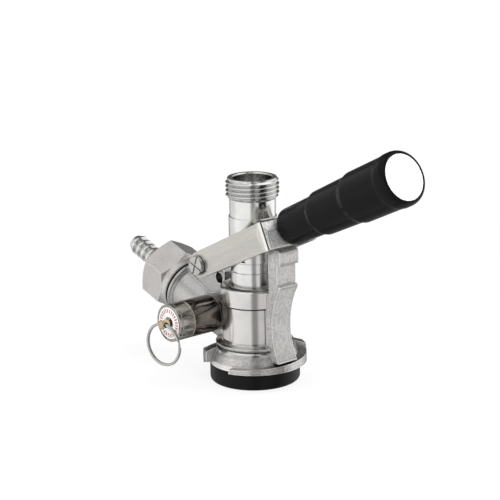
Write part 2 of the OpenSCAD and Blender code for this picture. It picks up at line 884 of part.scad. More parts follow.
module lever_yoke() {
    pin_angle = pin_rest_angle - lever_tilt;
    lower = arm_end_h / 2;
    upper = arm_end_h / 2;
    color("silver") in_lever() difference() {
        union() {
            both_sides() {
                arm();
                // The cheek that thickens the arm beside the column
                translate([cheek_start, cheek_gap, -lower + edge])
                    cube([arm_l - cheek_start, arm_gap - cheek_gap + edge, upper + lower - 2 * edge]);
                // The pin that moves the probe
                translate([pin_reach * cos(pin_angle), arm_gap + edge, pin_reach * sin(pin_angle)])
                    rotate([90, 0, 0]) cylinder(r = pin_r, h = pin_depth + edge);
            }
            translate([web_start, -cheek_gap - edge, -lower + nose_h + gap])
                cube([arm_l - web_start, 2 * (cheek_gap + edge), upper + lower - nose_h - gap - edge]);
            translate([0, 0, grip_rise]) rotate([0, 90, 0]) {
                bar(stem_r, arm_l - edge, washer_at);
                bar(stem_thread_r, washer_at - edge, stem_end);
            }
        }
        both_sides() translate([0, arm_out + over, 0]) rotate([90, 0, 0])
            cylinder(r = hinge_screw_r + run, h = arm_t + 2 * over);
    }
}

module hinge_screws() {
    head_at = arm_out + gap / 2;
    color("gainsboro") both_sides() translate([-hinge_x, 0, hinge_z]) rotate([-90, 0, 0]) difference() {
        union() {
            bar(hinge_screw_r, barrel_half_w - screw_depth + gap, head_at + edge);
            turned([
                [0, head_at],
                [screw_head_r, head_at],
                [screw_head_r, head_at + screw_head_h - edge / 2],
                [screw_head_r - edge / 2, head_at + screw_head_h],
                [0, head_at + screw_head_h]
            ]);
        }
        for (turn = slot_turns)
            rotate([0, 0, turn]) translate([-screw_head_r, -slot_w / 2, head_at + screw_head_h - slot_h])
                cube([2 * screw_head_r, slot_w, slot_h + over]);
    }
}

// Side view of the latch block: a ridged plate with the nose under the web
module block_outline() {
    half = arm_end_h / 2;
    split = half * arm_crease_share * 2;
    polygon([
        [nose_end, -half + edge],
        [nose_end + edge, -half],
        [block_start + block_rim - edge, -half],
        [block_start + block_rim, -half + edge],
        [block_ridge_at, split],
        [block_start + block_rim / 2, half - edge],
        [block_start + block_rim / 2 - edge, half],
        [block_start, half],
        [block_start, -half + nose_h],
        [nose_end, -half + nose_h]
    ]);
}

// Plan of the latch block: as wide as the arms, with a narrow nose
module block_plan() {
    wide = arm_out - bevel_depth;
    polygon([
        [nose_end - over, -nose_half_w],
        [block_start, -nose_half_w],
        [block_start, -wide],
        [block_start + block_rim, -wide],
        [block_ridge_at + over, -wide + block_ridge + over],
        [block_ridge_at + over, wide - block_ridge - over],
        [block_start + block_rim, wide],
        [block_start, wide],
        [block_start, nose_half_w],
        [nose_end - over, nose_half_w]
    ]);
}

module latch_block() {
    color("silver") in_lever() difference() {
        union() {
            intersection() {
                translate([0, arm_out, 0]) rotate([90, 0, 0]) linear_extrude(2 * arm_out) block_outline();
                translate([0, 0, -arm_end_h]) linear_extrude(2 * arm_end_h) block_plan();
            }
            translate([0, 0, grip_rise]) rotate([0, 90, 0]) bar(boss_r, block_start, boss_end);
        }
        translate([0, 0, grip_rise]) rotate([0, 90, 0])
            bar(stem_r + run, block_start - over, boss_end + over);
    }
}

module latch_spring() {
    coil_turns = 9;
    color("gray") on_grip()
        coil(spring_r, spring_wire_r, coil_turns, boss_end + run, washer_at - run, "latch_spring");
}

module stem_washer() {
    color("gainsboro") on_grip() tube(cavity_r - gap, stem_thread_r + run, washer_at, nut_at);
}

module stem_nut() {
    color("gainsboro") on_grip() difference() {
        translate([0, 0, nut_at]) cylinder(r = boss_r, h = nut_t - edge, $fn = 6);
        bar(stem_thread_r + fit, nut_at - over, nut_at + nut_t + over);
    }
}

// The grip's profile: four stretches that step up towards the end rim
function grip_at(share) = grip_start + (grip_end - grip_start) * share;
module grip_profile() {
    s = grip_step_shares;
    round_steps = 6;
    rim_r = disc_r + run + rim_t;
    polygon([
        [boss_r + fit, grip_start],
        [grip_lead_r, grip_start],
        [grip_r_1 - grip_taper, grip_at(s[0])],
        [grip_r_1 + grip_taper / 2, grip_at(s[1])],
        [grip_r_2 - grip_taper, grip_at(s[2])],
        [grip_r_2 + grip_taper, grip_at(s[3])],
        [grip_r_3 - grip_taper / 2, grip_at(s[4])],
        [grip_r_3 + grip_taper / 2, grip_at(s[5])],
        [grip_r_4, grip_at(s[6])],
        for (i = [0:round_steps])
            let (a = 90 * i / round_steps)
            [rim_r + (grip_r_4 - rim_r) * cos(a), grip_end - grip_round * (1 - sin(a))],
        [disc_r + run, grip_end],
        [disc_r + run, grip_end - disc_seat],
        [disc_stud_r + fit, grip_end - disc_seat],
        [disc_stud_r + fit, grip_end - disc_seat - disc_stud_l - gap],
        [0, grip_end - disc_seat - disc_stud_l - gap],
        [0, cavity_end + grip_travel],
        [cavity_r, cavity_end],
        [cavity_r, cavity_start],
        [boss_r + fit, cavity_start]
    ]);
}

module grip() {
    color([0.05, 0.05, 0.055]) on_grip() rotate_extrude() grip_profile();
}

module grip_disc() {
    seat = grip_end - disc_seat;
    color("white") on_grip() turned([
        [0, seat - disc_stud_l],
        [disc_stud_r, seat - disc_stud_l],
        [disc_stud_r, seat],
        [disc_r, seat],
        [disc_r, grip_end - edge / 2],
        [disc_r - edge / 2, grip_end],
        [disc_r / 2, grip_end + disc_dome / 2],
        [0, grip_end + disc_dome]
    ]);
}

module gas_nut() {
    collar_end = nut_start + nut_collar_l;
    corner_r = nut_flats / sqrt(3);
    color("silver") on_inlet() difference() {
        union() {
            turned([
                [0, nut_start],
                [nut_collar_r - edge, nut_start],
                [nut_collar_r, nut_start + edge],
                [nut_collar_r, collar_end + edge],
                [0, collar_end + edge]
            ]);
            intersection() {
                translate([0, 0, collar_end]) rotate([0, 0, nut_turn])
                    cylinder(r = corner_r, h = nut_end - collar_end, $fn = 6);
                turned([
                    [0, collar_end],
                    [nut_flats / 2, collar_end],
                    [corner_r + edge / 2, collar_end + nut_chamfer],
                    [corner_r + edge / 2, nut_end - nut_chamfer],
                    [nut_flats / 2 - edge, nut_end],
                    [0, nut_end]
                ]);
            }
        }
        bar(gas_thread_r + fit, nut_start - over, shoulder_at);
        bar(tail_r + run, shoulder_at - over, nut_end + over);
    }
}

module gas_tailpiece() {
    color("whitesmoke") on_inlet() difference() {
        turned([
            [0, flange_at],
            [flange_r, flange_at],
            [flange_r, flange_at + flange_t],
            [tail_r, flange_at + flange_t],
            [tail_r, tail_end - edge],
            [tail_r - edge, tail_end],
            [shank_r, tail_end],
            [shank_r, barb_start - edge],
            for (i = [0:barb_count - 1])
                each [
                    [barb_root_r, barb_start + i * barb_pitch],
                    [barb_r, barb_start + i * barb_pitch + edge / 2],
                    [barb_r, barb_start + i * barb_pitch + edge * 2]
                ],
            [barb_tip_r, barb_end],
            [0, barb_end]
        ]);
        bar(barb_bore_r, flange_at - over, barb_end + over);
    }
}

module gas_washer() {
    color([0.1, 0.1, 0.1]) on_inlet() tube(gas_washer_r, valve_pocket_r / 2, gas_thread_end, flange_at);
}

// The rubber check valve: a flanged tube that narrows to two lips
module gas_check_valve() {
    flange_low = gas_thread_end - valve_pocket_h;
    body_r = gas_bore_r - gap;
    color([0.1, 0.1, 0.1]) on_inlet() difference() {
        union() {
            bar(valve_pocket_r - run, flange_low, gas_thread_end);
            bar(body_r, flange_low - duckbill_l / 2, flange_low + edge);
            intersection() {
                bar(body_r, flange_low - duckbill_l, flange_low);
                rotate([90, 0, 0]) translate([0, 0, -body_r]) linear_extrude(2 * body_r) polygon([
                    [-duckbill_lip, flange_low - duckbill_l],
                    [duckbill_lip, flange_low - duckbill_l],
                    [body_r, flange_low - duckbill_l / 2 + edge],
                    [-body_r, flange_low - duckbill_l / 2 + edge]
                ]);
            }
        }
        bar(body_r - duckbill_wall, flange_low - duckbill_l / 2, gas_thread_end + over);
    }
}

module relief_body() {
    stub_low = valve_foot - stub_l;
    spigot_r = valve_r - valve_wall;
    color([0.45, 0.43, 0.41]) on_valve() difference() {
        turned([
            [0, stub_low],
            [stub_r - edge, stub_low],
            [stub_r, stub_low + edge],
            [stub_r, valve_foot],
            [valve_r - edge / 2, valve_foot],
            [valve_r, valve_foot + edge / 2],
            [valve_r, valve_seam - edge / 2],
            [valve_r - edge / 2, valve_seam],
            [0, valve_seam]
        ]);
        bar(valve_port_r, stub_low - over, valve_seam);
        bar(stub_bore_r, seat_at, valve_seam);
        bar(spigot_r, valve_foot + valve_wall / 2, valve_seam + over);
    }
}

module relief_gasket() {
    color([0.1, 0.1, 0.1]) on_valve() tube(gasket_r, stub_r + run, valve_foot - gasket_t, valve_foot);
}

module relief_cap() {
    spigot_r = valve_r - valve_wall - fit;
    rim_at = valve_face - disc_t - edge * 2;
    color([0.45, 0.43, 0.41]) on_valve() difference() {
        turned([
            [0, spring_seat],
            [spigot_r, spring_seat],
            [spigot_r, valve_seam],
            [valve_r - edge / 2, valve_seam],
            [valve_r, valve_seam + edge / 2],
            [valve_r, rim_at - rim_line],
            [valve_r - rim_line / 2, rim_at],
            [valve_r, rim_at + rim_line],
            [valve_r, valve_face - edge / 2],
            [valve_r - edge / 2, valve_face],
            [0, valve_face]
        ]);
        bar(valve_stem_r + run, spring_seat - over, valve_face + over);
        bar(spigot_r - valve_wall, spring_seat - over, valve_seam - edge);
        bar(valve_disc_r + run, valve_face - disc_t, valve_face + over);
    }
}

module relief_disc() {
    color("white") on_valve()
        tube(valve_disc_r, disc_hole_r, valve_face - disc_t, valve_face - edge / 4);
}

module relief_stem() {
    color("goldenrod") on_valve() difference() {
        union() {
            bar(valve_stem_r, seat_at + edge, eye_start + edge);
            bar(valve_stem_r + stem_stop_step, seat_at + poppet_t + edge + fit, stem_stop_at);
            turned([
                [0, eye_start],
                [eye_r - edge / 2, eye_start],
                [eye_r, eye_start + edge / 2],
                [eye_r, eye_at + eye_r - edge],
                [eye_r - edge, eye_at + eye_r],
                [0, eye_at + eye_r]
            ]);
        }
        translate([0, 0, eye_at]) rotate([0, 90 + ring_turn, 0])
            translate([0, 0, -eye_r - over]) cylinder(r = eye_hole_r, h = 2 * (eye_r + over));
    }
}

module relief_poppet() {
    color([0.1, 0.1, 0.1]) on_valve() difference() {
        bar(poppet_r, seat_at + fit, seat_at + poppet_t + edge);
        bar(valve_stem_r + fit, seat_at + edge - fit, seat_at + poppet_t + edge + over);
    }
}

module relief_spring() {
    coil_turns = 6;
    color("gray") on_valve()
        coil(relief_coil_r, relief_wire_r, coil_turns, seat_at + poppet_t + edge + run,
            valve_seam - edge - run, "relief_spring");
}

module pull_ring() {
    color("silver") translate([-valve_x, -eye_at, valve_z]) rotate([0, 0, ring_turn])
        translate([0, 0, -ring_r]) rotate([90, 0, 0]) rotate_extrude() translate([ring_r, 0]) circle(r = ring_wire_r, $fn = 24);
}

body();
base_seal();
gland_bush();
body_oring();
probe();
probe_seal();
check_ball();
ball_retainer();
lever_yoke();
hinge_screws();
latch_block();
latch_spring();
stem_washer();
stem_nut();
grip();
grip_disc();
gas_nut();
gas_tailpiece();
gas_washer();
gas_check_valve();
relief_body();
relief_gasket();
relief_cap();
relief_disc();
relief_stem();
relief_poppet();
relief_spring();
pull_ring();
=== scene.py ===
"""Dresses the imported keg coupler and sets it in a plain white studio.

The CAD solids keep their shapes and get their finishes here. The probe gets a cut beer thread,
the springs get round wire, the pull ring becomes a split ring, and the relief valve's disc gets
plain red tick marks. Lengths are in millimetres unless a comment says metres.
"""

import logging
import math
from dataclasses import dataclass
from enum import Enum
from functools import lru_cache
from typing import Any, Sequence

import bmesh
import bpy
from mathutils import Matrix, Vector


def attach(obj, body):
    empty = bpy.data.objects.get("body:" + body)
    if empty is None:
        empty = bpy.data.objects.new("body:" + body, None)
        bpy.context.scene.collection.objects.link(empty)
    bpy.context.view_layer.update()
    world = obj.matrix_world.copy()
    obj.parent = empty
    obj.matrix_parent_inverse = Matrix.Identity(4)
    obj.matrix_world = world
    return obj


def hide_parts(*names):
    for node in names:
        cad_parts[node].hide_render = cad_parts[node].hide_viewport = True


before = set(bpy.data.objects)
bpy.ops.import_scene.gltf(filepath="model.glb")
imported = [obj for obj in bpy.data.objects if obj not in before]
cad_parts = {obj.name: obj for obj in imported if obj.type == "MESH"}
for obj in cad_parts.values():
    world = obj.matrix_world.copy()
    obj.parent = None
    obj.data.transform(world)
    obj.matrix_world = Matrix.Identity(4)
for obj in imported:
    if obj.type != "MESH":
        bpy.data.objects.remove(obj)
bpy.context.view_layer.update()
log = logging.getLogger("keg_coupler")

MM = 0.001
SHARP_ANGLE = math.radians(35)
# Places and turns of the sub-assemblies, from the part's source.
HINGE, LEVER_TILT, STEM_RISE = (-21.3, 0, 48.8), 25.5, 1
INLET_FOOT, INLET_TILT = (-14, 0, 21.3), 19
VALVE_FOOT = (-19.5, 0, 26.8)
RING_EYE, RING_TURN, RING_DROP = (-19.5, -34.7, 26.8), 10, 8.8
Colour = tuple[float, float, float]
Point = tuple[float, float, float]
Stops = tuple[tuple[float, float], ...]


def moved(x: float, y: float, z: float) -> Matrix:
    """A shift, in millimetres."""
    return Matrix.Translation((x, y, z))


def turned(degrees: float, axis: str) -> Matrix:
    """A turn about one of the axes."""
    return Matrix.Rotation(math.radians(degrees), 4, axis)


class Body(str, Enum):
    """The moving bodies that new pieces ride on."""

    ROOT = "root"
    PROBE = "probe"
    LEVER = "lever"
    RING = "ring"


class Placing(Enum):
    """The frames that sub-assemblies are built in, as in the part's source."""

    UPRIGHT = Matrix.Identity(4)
    GRIP = moved(*HINGE) @ turned(-LEVER_TILT, "Y") @ moved(0, 0, STEM_RISE) @ turned(90, "Y")
    INLET = moved(*INLET_FOOT) @ turned(INLET_TILT - 90, "Y")
    VALVE = moved(*VALVE_FOOT) @ turned(90, "X")
    RING = moved(*RING_EYE) @ turned(RING_TURN, "Z") @ moved(0, 0, -RING_DROP) @ turned(90, "X")

    def in_metres(self) -> Matrix:
        """The frame's matrix, for a mesh that is already in metres."""
        return Matrix.Translation(self.value.translation * MM) @ self.value.to_3x3().to_4x4()

    def axis(self) -> Point:
        """Direction of the frame's own Z in the shared frame."""
        return tuple(self.value.to_3x3() @ Vector((0, 0, 1)))

    def origin(self) -> Point:
        """Place of the frame's origin in the shared frame, in metres."""
        return tuple(self.value.translation * MM)


# Materials


class Tree:
    """A node tree that is drawn one node at a time."""

    def __init__(self, tree: bpy.types.NodeTree) -> None:
        """Starts to draw in one of Blender's trees."""
        self.tree = tree

    def feed(self, socket: bpy.types.NodeSocket, value: Any) -> None:
        """Links an output to an input, or sets the input's own value.

        Args:
            socket: The input.
            value: An output socket, or a plain value.
        """
        if isinstance(value, bpy.types.NodeSocket):
            self.tree.links.new(value, socket)
        else:
            socket.default_value = value

    def node(self, kind: str, inputs: dict[Any, Any] | None = None, **settings: Any) -> bpy.types.Node:
        """Adds a node.

        Args:
            kind: Blender's name for the node.
            inputs: Values or sockets, by input name or number.
            **settings: Properties to set on it first.

        Returns:
            The new node.
        """
        made = self.tree.nodes.new(kind)
        for key, value in settings.items():
            setattr(made, key, value)
        for key, value in (inputs or {}).items():
            self.feed(made.inputs[key], value)
        return made

    def out(self, kind: str, inputs: dict[Any, Any] | None = None, **settings: Any) -> Any:
        """Adds a node, as node() does, and returns its first output."""
        return self.node(kind, inputs, **settings).outputs[0]

    def math(self, operation: str, first: Any, second: Any = 0.0) -> Any:
        """The result's socket of a sum on two numbers or sockets."""
        return self.out("ShaderNodeMath", {0: first, 1: second}, operation=operation)

    def plus(self, first: Any, second: Any) -> Any:
        """The first number or socket plus the second."""
        return self.math("ADD", first, second)

    def less(self, first: Any, second: Any) -> Any:
        """The first number or socket less the second."""
        return self.math("SUBTRACT", first, second)

    def times(self, first: Any, second: Any) -> Any:
        """The first number or socket times the second."""
        return self.math("MULTIPLY", first, second)

    def vector(self, operation: str, first: Any, second: Any = (0, 0, 0), result: str = "Value") -> Any:
        """The result's socket of a sum on two vectors or sockets."""
        sum_node = self.node("ShaderNodeVectorMath", {0: first, 1: second}, operation=operation)
        return sum_node.outputs[result]

    def xyz(self, x: Any = 0.0, y: Any = 0.0, z: Any = 0.0) -> Any:
        """Three numbers or sockets as one vector."""
        return self.out("ShaderNodeCombineXYZ", {0: x, 1: y, 2: z})


def opaque(colour: Any) -> Any:
    """A colour with its alpha, or a socket as it is."""
    return (*colour, 1) if isinstance(colour, tuple) else colour


class Sketch(Tree):
    """A material's node tree, with the patterns that finishes are made of."""

    def __init__(self, name: str) -> None:
        """Starts a material with a bare shader.

        Args:
            name: The material's name.
        """
        self.material = bpy.data.materials.new(name)
        self.material.use_nodes = True
        super().__init__(self.material.node_tree)
        self.tree.nodes.clear()
        self.shader = self.node("ShaderNodeBsdfPrincipled")
        self.output = self.node("ShaderNodeOutputMaterial", {"Surface": self.shader.outputs["BSDF"]})
        self.place = self.node("ShaderNodeTexCoord").outputs["Object"]

    def spread(self, value: Any, low: float, high: float, to_low: float = 0.0, to_high: float = 1.0) -> Any:
        """Maps a range smoothly onto another, held at its ends.

        Args:
            value: The number's socket.
            low: Start of the range.
            high: End of the range.
            to_low: Result at the start.
            to_high: Result at the end.

        Returns:
            The result's socket.
        """
        return self.out("ShaderNodeMapRange", {
            "Value": value, "From Min": low, "From Max": high, "To Min": to_low, "To Max": to_high,
        }, interpolation_type="SMOOTHSTEP")

    def mix(self, share: Any, first: Any, second: Any) -> Any:
        """Mixes two colours or sockets, with share as how much of the second."""
        inputs = {0: share, 6: opaque(first), 7: opaque(second)}
        return self.node("ShaderNodeMix", inputs, data_type="RGBA").outputs[2]

    def blend(self, share: Any, first: Any, second: Any) -> Any:
        """Mixes two numbers or sockets, with share as how much of the second."""
        return self.plus(first, self.times(share, self.less(second, first)))

    def noise(self, size: float, detail: float = 3, stretch: Point = (1, 1, 1), turn: Point = (0, 0, 0)) -> Any:
        """A cloudy pattern, which may be stretched along an axis.

        Args:
            size: Size of its blobs.
            detail: Number of finer layers.
            stretch: How many times longer the blobs are along each axis.
            turn: Turn of those axes, in degrees.

        Returns:
            The pattern's socket, from 0 to 1.
        """
        place = self.out("ShaderNodeMapping", {
            "Vector": self.place, "Rotation": [math.radians(t) for t in turn], "Scale": stretch,
        }, vector_type="TEXTURE")
        return self.node("ShaderNodeTexNoise", {
            "Vector": place, "Scale": 1 / (size * MM), "Detail": detail,
        }).outputs["Fac"]

    def along(self, placing: Placing) -> Any:
        """How far a point lies along a frame's axis, in metres from the shared origin."""
        return self.vector("DOT_PRODUCT", self.place, placing.axis())

    def off_axis(self, placing: Placing) -> Any:
        """How far a point lies from a frame's axis, in metres."""
        arm = self.vector("SUBTRACT", self.place, placing.origin(), "Vector")
        return self.vector("LENGTH", self.vector("CROSS_PRODUCT", arm, placing.axis(), "Vector"))

    def lines(self, placing: Placing, size: float) -> Any:
        """Fine rings round an axis, as a lathe tool leaves them.

        Args:
            placing: The frame whose Z is the axis.
            size: Mean width of a ring.

        Returns:
            The pattern's socket, from 0 to 1.
        """
        return self.node("ShaderNodeTexNoise", {
            "W": self.along(placing), "Scale": 1 / (size * MM), "Detail": 4,
        }, noise_dimensions="1D").outputs["Fac"]

    def bands(self, placing: Placing, places: Sequence[float], width: float) -> Any:
        """Narrow rings at given heights along an axis.

        Args:
            placing: The frame whose Z is the axis.
            places: Heights of the rings.
            width: Half width of a ring.

        Returns:
            A socket that is 1 in a ring and 0 elsewhere.
        """
        foot = Vector(placing.origin()).dot(Vector(placing.axis()))
        along, found = self.along(placing), 0.0
        for height in places:
            off = self.math("ABSOLUTE", self.less(along, foot + height * MM))
            found = self.math("MAXIMUM", found, self.spread(off, width * 0.5 * MM, width * MM, 1, 0))
        return found

    def inside(self, placing: Placing, radius: float, soft: float = 0.1) -> Any:
        """The space near an axis, such as a bore.

        Args:
            placing: The frame whose Z is the axis.
            radius: Radius of the space.
            soft: Width over which it ends.

        Returns:
            A socket that is 1 inside and 0 outside.
        """
        return self.spread(self.off_axis(placing), (radius - soft) * MM, radius * MM, 1, 0)

    def pits(self, size: float, share: float) -> Any:
        """Small round pits, strewn unevenly.

        Args:
            size: Spacing of the pits.
            share: Radius of a pit as a share of that spacing.

        Returns:
            A socket that is 1 in a pit and 0 elsewhere.
        """
        inputs = {"Vector": self.place, "Scale": 1 / (size * MM)}
        cells = self.node("ShaderNodeTexVoronoi", inputs, feature="F1")
        near = self.spread(cells.outputs["Distance"], share * 0.4, share, 1, 0)
        return self.times(near, self.spread(self.noise(size * 6, 1), 0.5, 0.62))

    def bevel(self, width: float, samples: int) -> tuple[Any, Any]:
        """Softens the edges.

        Args:
            width: Width of an edge's rounding.
            samples: Number of rays that look for an edge.

        Returns:
            The softened normal, and a socket that is 1 on a face and less near an edge.
        """
        soft = self.out("ShaderNodeBevel", {"Radius": width * MM}, samples=samples)
        facing = self.node("ShaderNodeNewGeometry").outputs["Normal"]
        return soft, self.vector("DOT_PRODUCT", soft, facing)

    def rounded(self, width: float) -> tuple[Any, Any]:
        """The softened normal for an edge's width, and a socket that is 1 on an edge and 0 on a face."""
        normal, level = self.bevel(width, 5)
        return normal, self.spread(level, 0.82, 0.985, 1, 0)

    def edges(self, width: float) -> tuple[Any, Any]:
        """Finds the edges, which are rubbed and get a painted highlight, and the strips next to them, which get
        painted shade.

        Args:
            width: Reach of an edge with its strip.

        Returns:
            A socket that is 1 on an edge, and one that is 1 just next to it.
        """
        _, level = self.bevel(width, 6)
        # The edge mask carries rubbing and a painted highlight; the strip next to it carries painted shade.
        edge_wear_and_highlight = self.spread(level, 0.88, 0.94, 1, 0)
        return edge_wear_and_highlight, self.less(self.spread(level, 0.965, 0.9992, 1, 0), edge_wear_and_highlight)

    def corners(self, reach: float, closed: float, clear: float, most: float = 0.95) -> Any:
        """Finds the inner corners, for painted shade.

        Args:
            reach: How far a corner's painted shade reaches.
            closed: Openness under which a place gets the full painted shade, from 0 to 1.
            clear: Openness from which it gets no painted shade.
            most: The painted shade's greatest strength.

        Returns:
            A socket with the painted shade's strength.
        """
        # Ambient occlusion, laid on as painted shade in the corners.
        shut = self.node("ShaderNodeAmbientOcclusion", {"Distance": reach * MM}, samples=6)
        return self.spread(shut.outputs["AO"], closed, clear, most, 0)

    def bump(self, height: Any, depth: float, normal: Any) -> Any:
        """The normal of a surface with a pattern raised on it by a depth."""
        inputs = {"Strength": 1, "Distance": depth * MM, "Height": height, "Normal": normal}
        return self.out("ShaderNodeBump", inputs)

    def set(self, **values: Any) -> None:
        """Feeds the shader's inputs, whose names have _ for a space."""
        for key, value in values.items():
            self.feed(self.shader.inputs[key.replace("_", " ")], value)


class Tone:
    """A colour with lighter and darker shades of it laid over one another."""

    def __init__(self, sketch: Sketch, colour: Colour, mask: Any, first: float, second: float) -> None:
        """Starts with two shades.

        Args:
            sketch: The material being drawn.
            colour: The main colour.
            mask: Where the second shade lies, from 0 to 1.
            first: The first shade, as a share of the colour.
            second: The second shade.
        """
        self.sketch, self.colour = sketch, colour
        self.socket = sketch.mix(mask, self.shade(first), self.shade(second))

    def shade(self, share: float) -> Colour:
        """The main colour, lighter or darker by a share."""
        return tuple(min(1.0, c * share) for c in self.colour)

    def over(self, mask: Any, share: float, strength: Any = 1.0) -> None:
        """Lays a shade over the tone.

        Args:
            mask: Where it lies, from 0 to 1.
            share: The shade, as a share of the main colour.
            strength: How much of the tone it covers there.
        """
        self.socket = self.sketch.mix(self.sketch.times(mask, strength), self.socket, self.shade(share))


@dataclass(frozen=True)
class Finish:
    """What every finish has.

    Attributes:
        name: The material's name.
        colour: Its main colour.
        roughness: Its mean roughness.
    """

    name: str
    colour: Colour
    roughness: float

    def paint(self, sketch: Sketch) -> None:
        """Draws the finish's nodes; each kind of finish has its own."""
        raise NotImplementedError


@lru_cache(maxsize=None)
def material_of(finish: Finish) -> bpy.types.Material:
    """Makes a finish's material once.

    Args:
        finish: The finish.

    Returns:
        Its material.
    """
    sketch = Sketch(finish.name)
    finish.paint(sketch)
    return sketch.material


@dataclass(frozen=True)
class TurnedFaces:
    """The skirt, barrel and collar round the probe's axis, which are turned smooth.

    Attributes:
        skirt_r: Radius that bounds the skirt's turned faces at the foot.
        skirt_taper: How much smaller that radius is for each millimetre up.
        skirt_top: Height where the skirt ends.
        barrel_r: Radius that bounds the barrel and the collar.
        top: Height where the collar ends.
        rings: Mean width of the tool's rings.
        shaded_seams: Heights of the corners at the barrel's ends, darkened by painted shade.
    """

    skirt_r: float = 22.8
    skirt_taper: float = 0.36
    skirt_top: float = 17.9
    barrel_r: float = 14.85
    top: float = 42.4
    rings: float = 0.12
    shaded_seams: tuple[float, ...] = (16.15, 34.42)

    def zone(self, sketch: Sketch) -> Any:
        """Tells the turned faces from the cast ones.

        Args:
            sketch: The material being drawn.

        Returns:
            A socket that is 1 on the turned faces and 0 elsewhere.
        """
        height = sketch.along(Placing.UPRIGHT)
        skirt = sketch.less(self.skirt_r * MM, sketch.times(height, self.skirt_taper))
        skirt = sketch.times(skirt, sketch.math("LESS_THAN", height, self.skirt_top * MM))
        limit = sketch.math("MAXIMUM", skirt, self.barrel_r * MM)
        inside = sketch.math("LESS_THAN", sketch.off_axis(Placing.UPRIGHT), limit)
        return sketch.times(inside, sketch.math("LESS_THAN", height, self.top * MM))


@dataclass(frozen=True)
class CastMetal(Finish):
    """Shot-blasted investment casting, with soft rubbed edges that get a painted highlight, and painted shade
    in its corners.

    Attributes:
        grain: Size of its grain.
        depth: Depth of that grain.
        edge: Width of its rubbed edges with their painted highlight.
        corner: Reach of the painted shade in its corners.
        blotch: Strength of its darker blotches, which end towards the gas inlet.
        metal: How metallic it is; the rest is dull oxide.
        turned: Its turned faces, if it has them.
        gap_shade_at: Height along the lever of a gap darkened by painted shade, or 0.
        rounding: Width of its edges' rounding.
        patch: Size of its lighter and darker patches.
        pit: Spacing of its pits.
        speck: Size of its blotches.
        streak: Width of its upright streaks.
        stained: X where the blotches and streaks begin, and where they are full.
    """

    grain: float = 0.5
    depth: float = 0.05
    edge: float = 0.5
    corner: float = 3.0
    blotch: float = 0.0
    metal: float = 1.0
    turned: TurnedFaces | None = None
    gap_shade_at: float = 0.0
    rounding: float = 0.3
    patch: float = 7.0
    pit: float = 1.1
    speck: float = 1.4
    streak: float = 0.7
    stained: tuple[float, float] = (-4, 8)

    def stains_and_shade(self, sketch: Sketch, tone: Tone, edge_shade_strip: Any) -> None:
        """Lays blotches and streaks over one end, painted shade along the edges, and a dull darker tone over
        the other end.

        Args:
            sketch: The material being drawn.
            tone: The tone so far.
            edge_shade_strip: The strips next to the edges, which get painted shade.
        """
        x = sketch.out("ShaderNodeSeparateXYZ", {0: sketch.place})
        back = sketch.spread(x, self.stained[0] * MM, self.stained[1] * MM)
        tone.over(sketch.spread(sketch.noise(self.speck), 0.4, 0.48, self.blotch, 0), 0.5, back)
        streaks = sketch.noise(self.streak, stretch=(1, 1, 9))
        tone.over(sketch.spread(streaks, 0.42, 0.52, 0.2, 0), 0.55, back)
        # Painted shade in the strips next to the edges.
        tone.over(edge_shade_strip, 0.12)
        tone.over(sketch.less(1.0, back), 0.1, 0.25)

    def paint(self, sketch: Sketch) -> None:
        """Draws grain, pits, patches, rubbed edges with a painted highlight, painted shade in the corners, and
        the turned faces.

        Args:
            sketch: The material to draw.
        """
        normal, _ = sketch.rounded(self.rounding)
        edge_wear_and_highlight, edge_shade_strip = sketch.edges(self.edge)
        grain, patches = sketch.noise(self.grain, 4), sketch.noise(self.patch)
        pits, corner = sketch.pits(self.pit, 0.22), sketch.corners(self.corner, 0.2, 0.75)
        tone = Tone(sketch, self.colour, sketch.spread(patches, 0.3, 0.7), 0.93, 1.04)
        tone.over(sketch.spread(grain, 0.35, 0.58, 0.7, 0), 0.62)
        if self.blotch:
            self.stains_and_shade(sketch, tone, edge_shade_strip)
        tone.over(pits, 0.25)
        # Rubbed edges, lightened also as a painted highlight.
        tone.over(edge_wear_and_highlight, 1.5, 0.9)
        # Painted shade in the corners.
        tone.over(corner, 0.16)
        if self.gap_shade_at:
            # Painted shade in the gap across the latch block.
            tone.over(sketch.bands(Placing.GRIP, (self.gap_shade_at,), 0.55), 0.04)
        rough = sketch.plus(sketch.times(grain, 0.22), self.roughness - 0.11)
        rough = sketch.less(rough, sketch.times(edge_wear_and_highlight, 0.12))
        height = sketch.less(grain, pits)
        if self.turned:
            rings = sketch.lines(Placing.UPRIGHT, self.turned.rings)
            smooth = Tone(sketch, self.colour, sketch.spread(rings, 0.35, 0.65), 0.98, 1.06)
            smooth.over(sketch.spread(patches, 0.35, 0.75, 0, 0.4), 0.74)
            # Rubbed edges of the turned faces, lightened also as a painted highlight.
            smooth.over(edge_wear_and_highlight, 1.4, 0.7)
            # Painted shade in the corners of the turned faces.
            smooth.over(corner, 0.16)
            # Painted shade in the corners at the barrel's ends.
            smooth.over(sketch.bands(Placing.UPRIGHT, self.turned.shaded_seams, 0.5), 0.08, 0.9)
            zone = self.turned.zone(sketch)
            tone.socket = sketch.mix(zone, tone.socket, smooth.socket)
            rough = sketch.blend(zone, rough, sketch.plus(sketch.times(rings, 0.1), 0.12))
            height = sketch.blend(zone, height, sketch.times(rings, 0.05))
        relief = sketch.bump(height, self.depth, normal)
        sketch.set(Base_Color=tone.socket, Metallic=self.metal, Roughness=rough, Normal=relief)


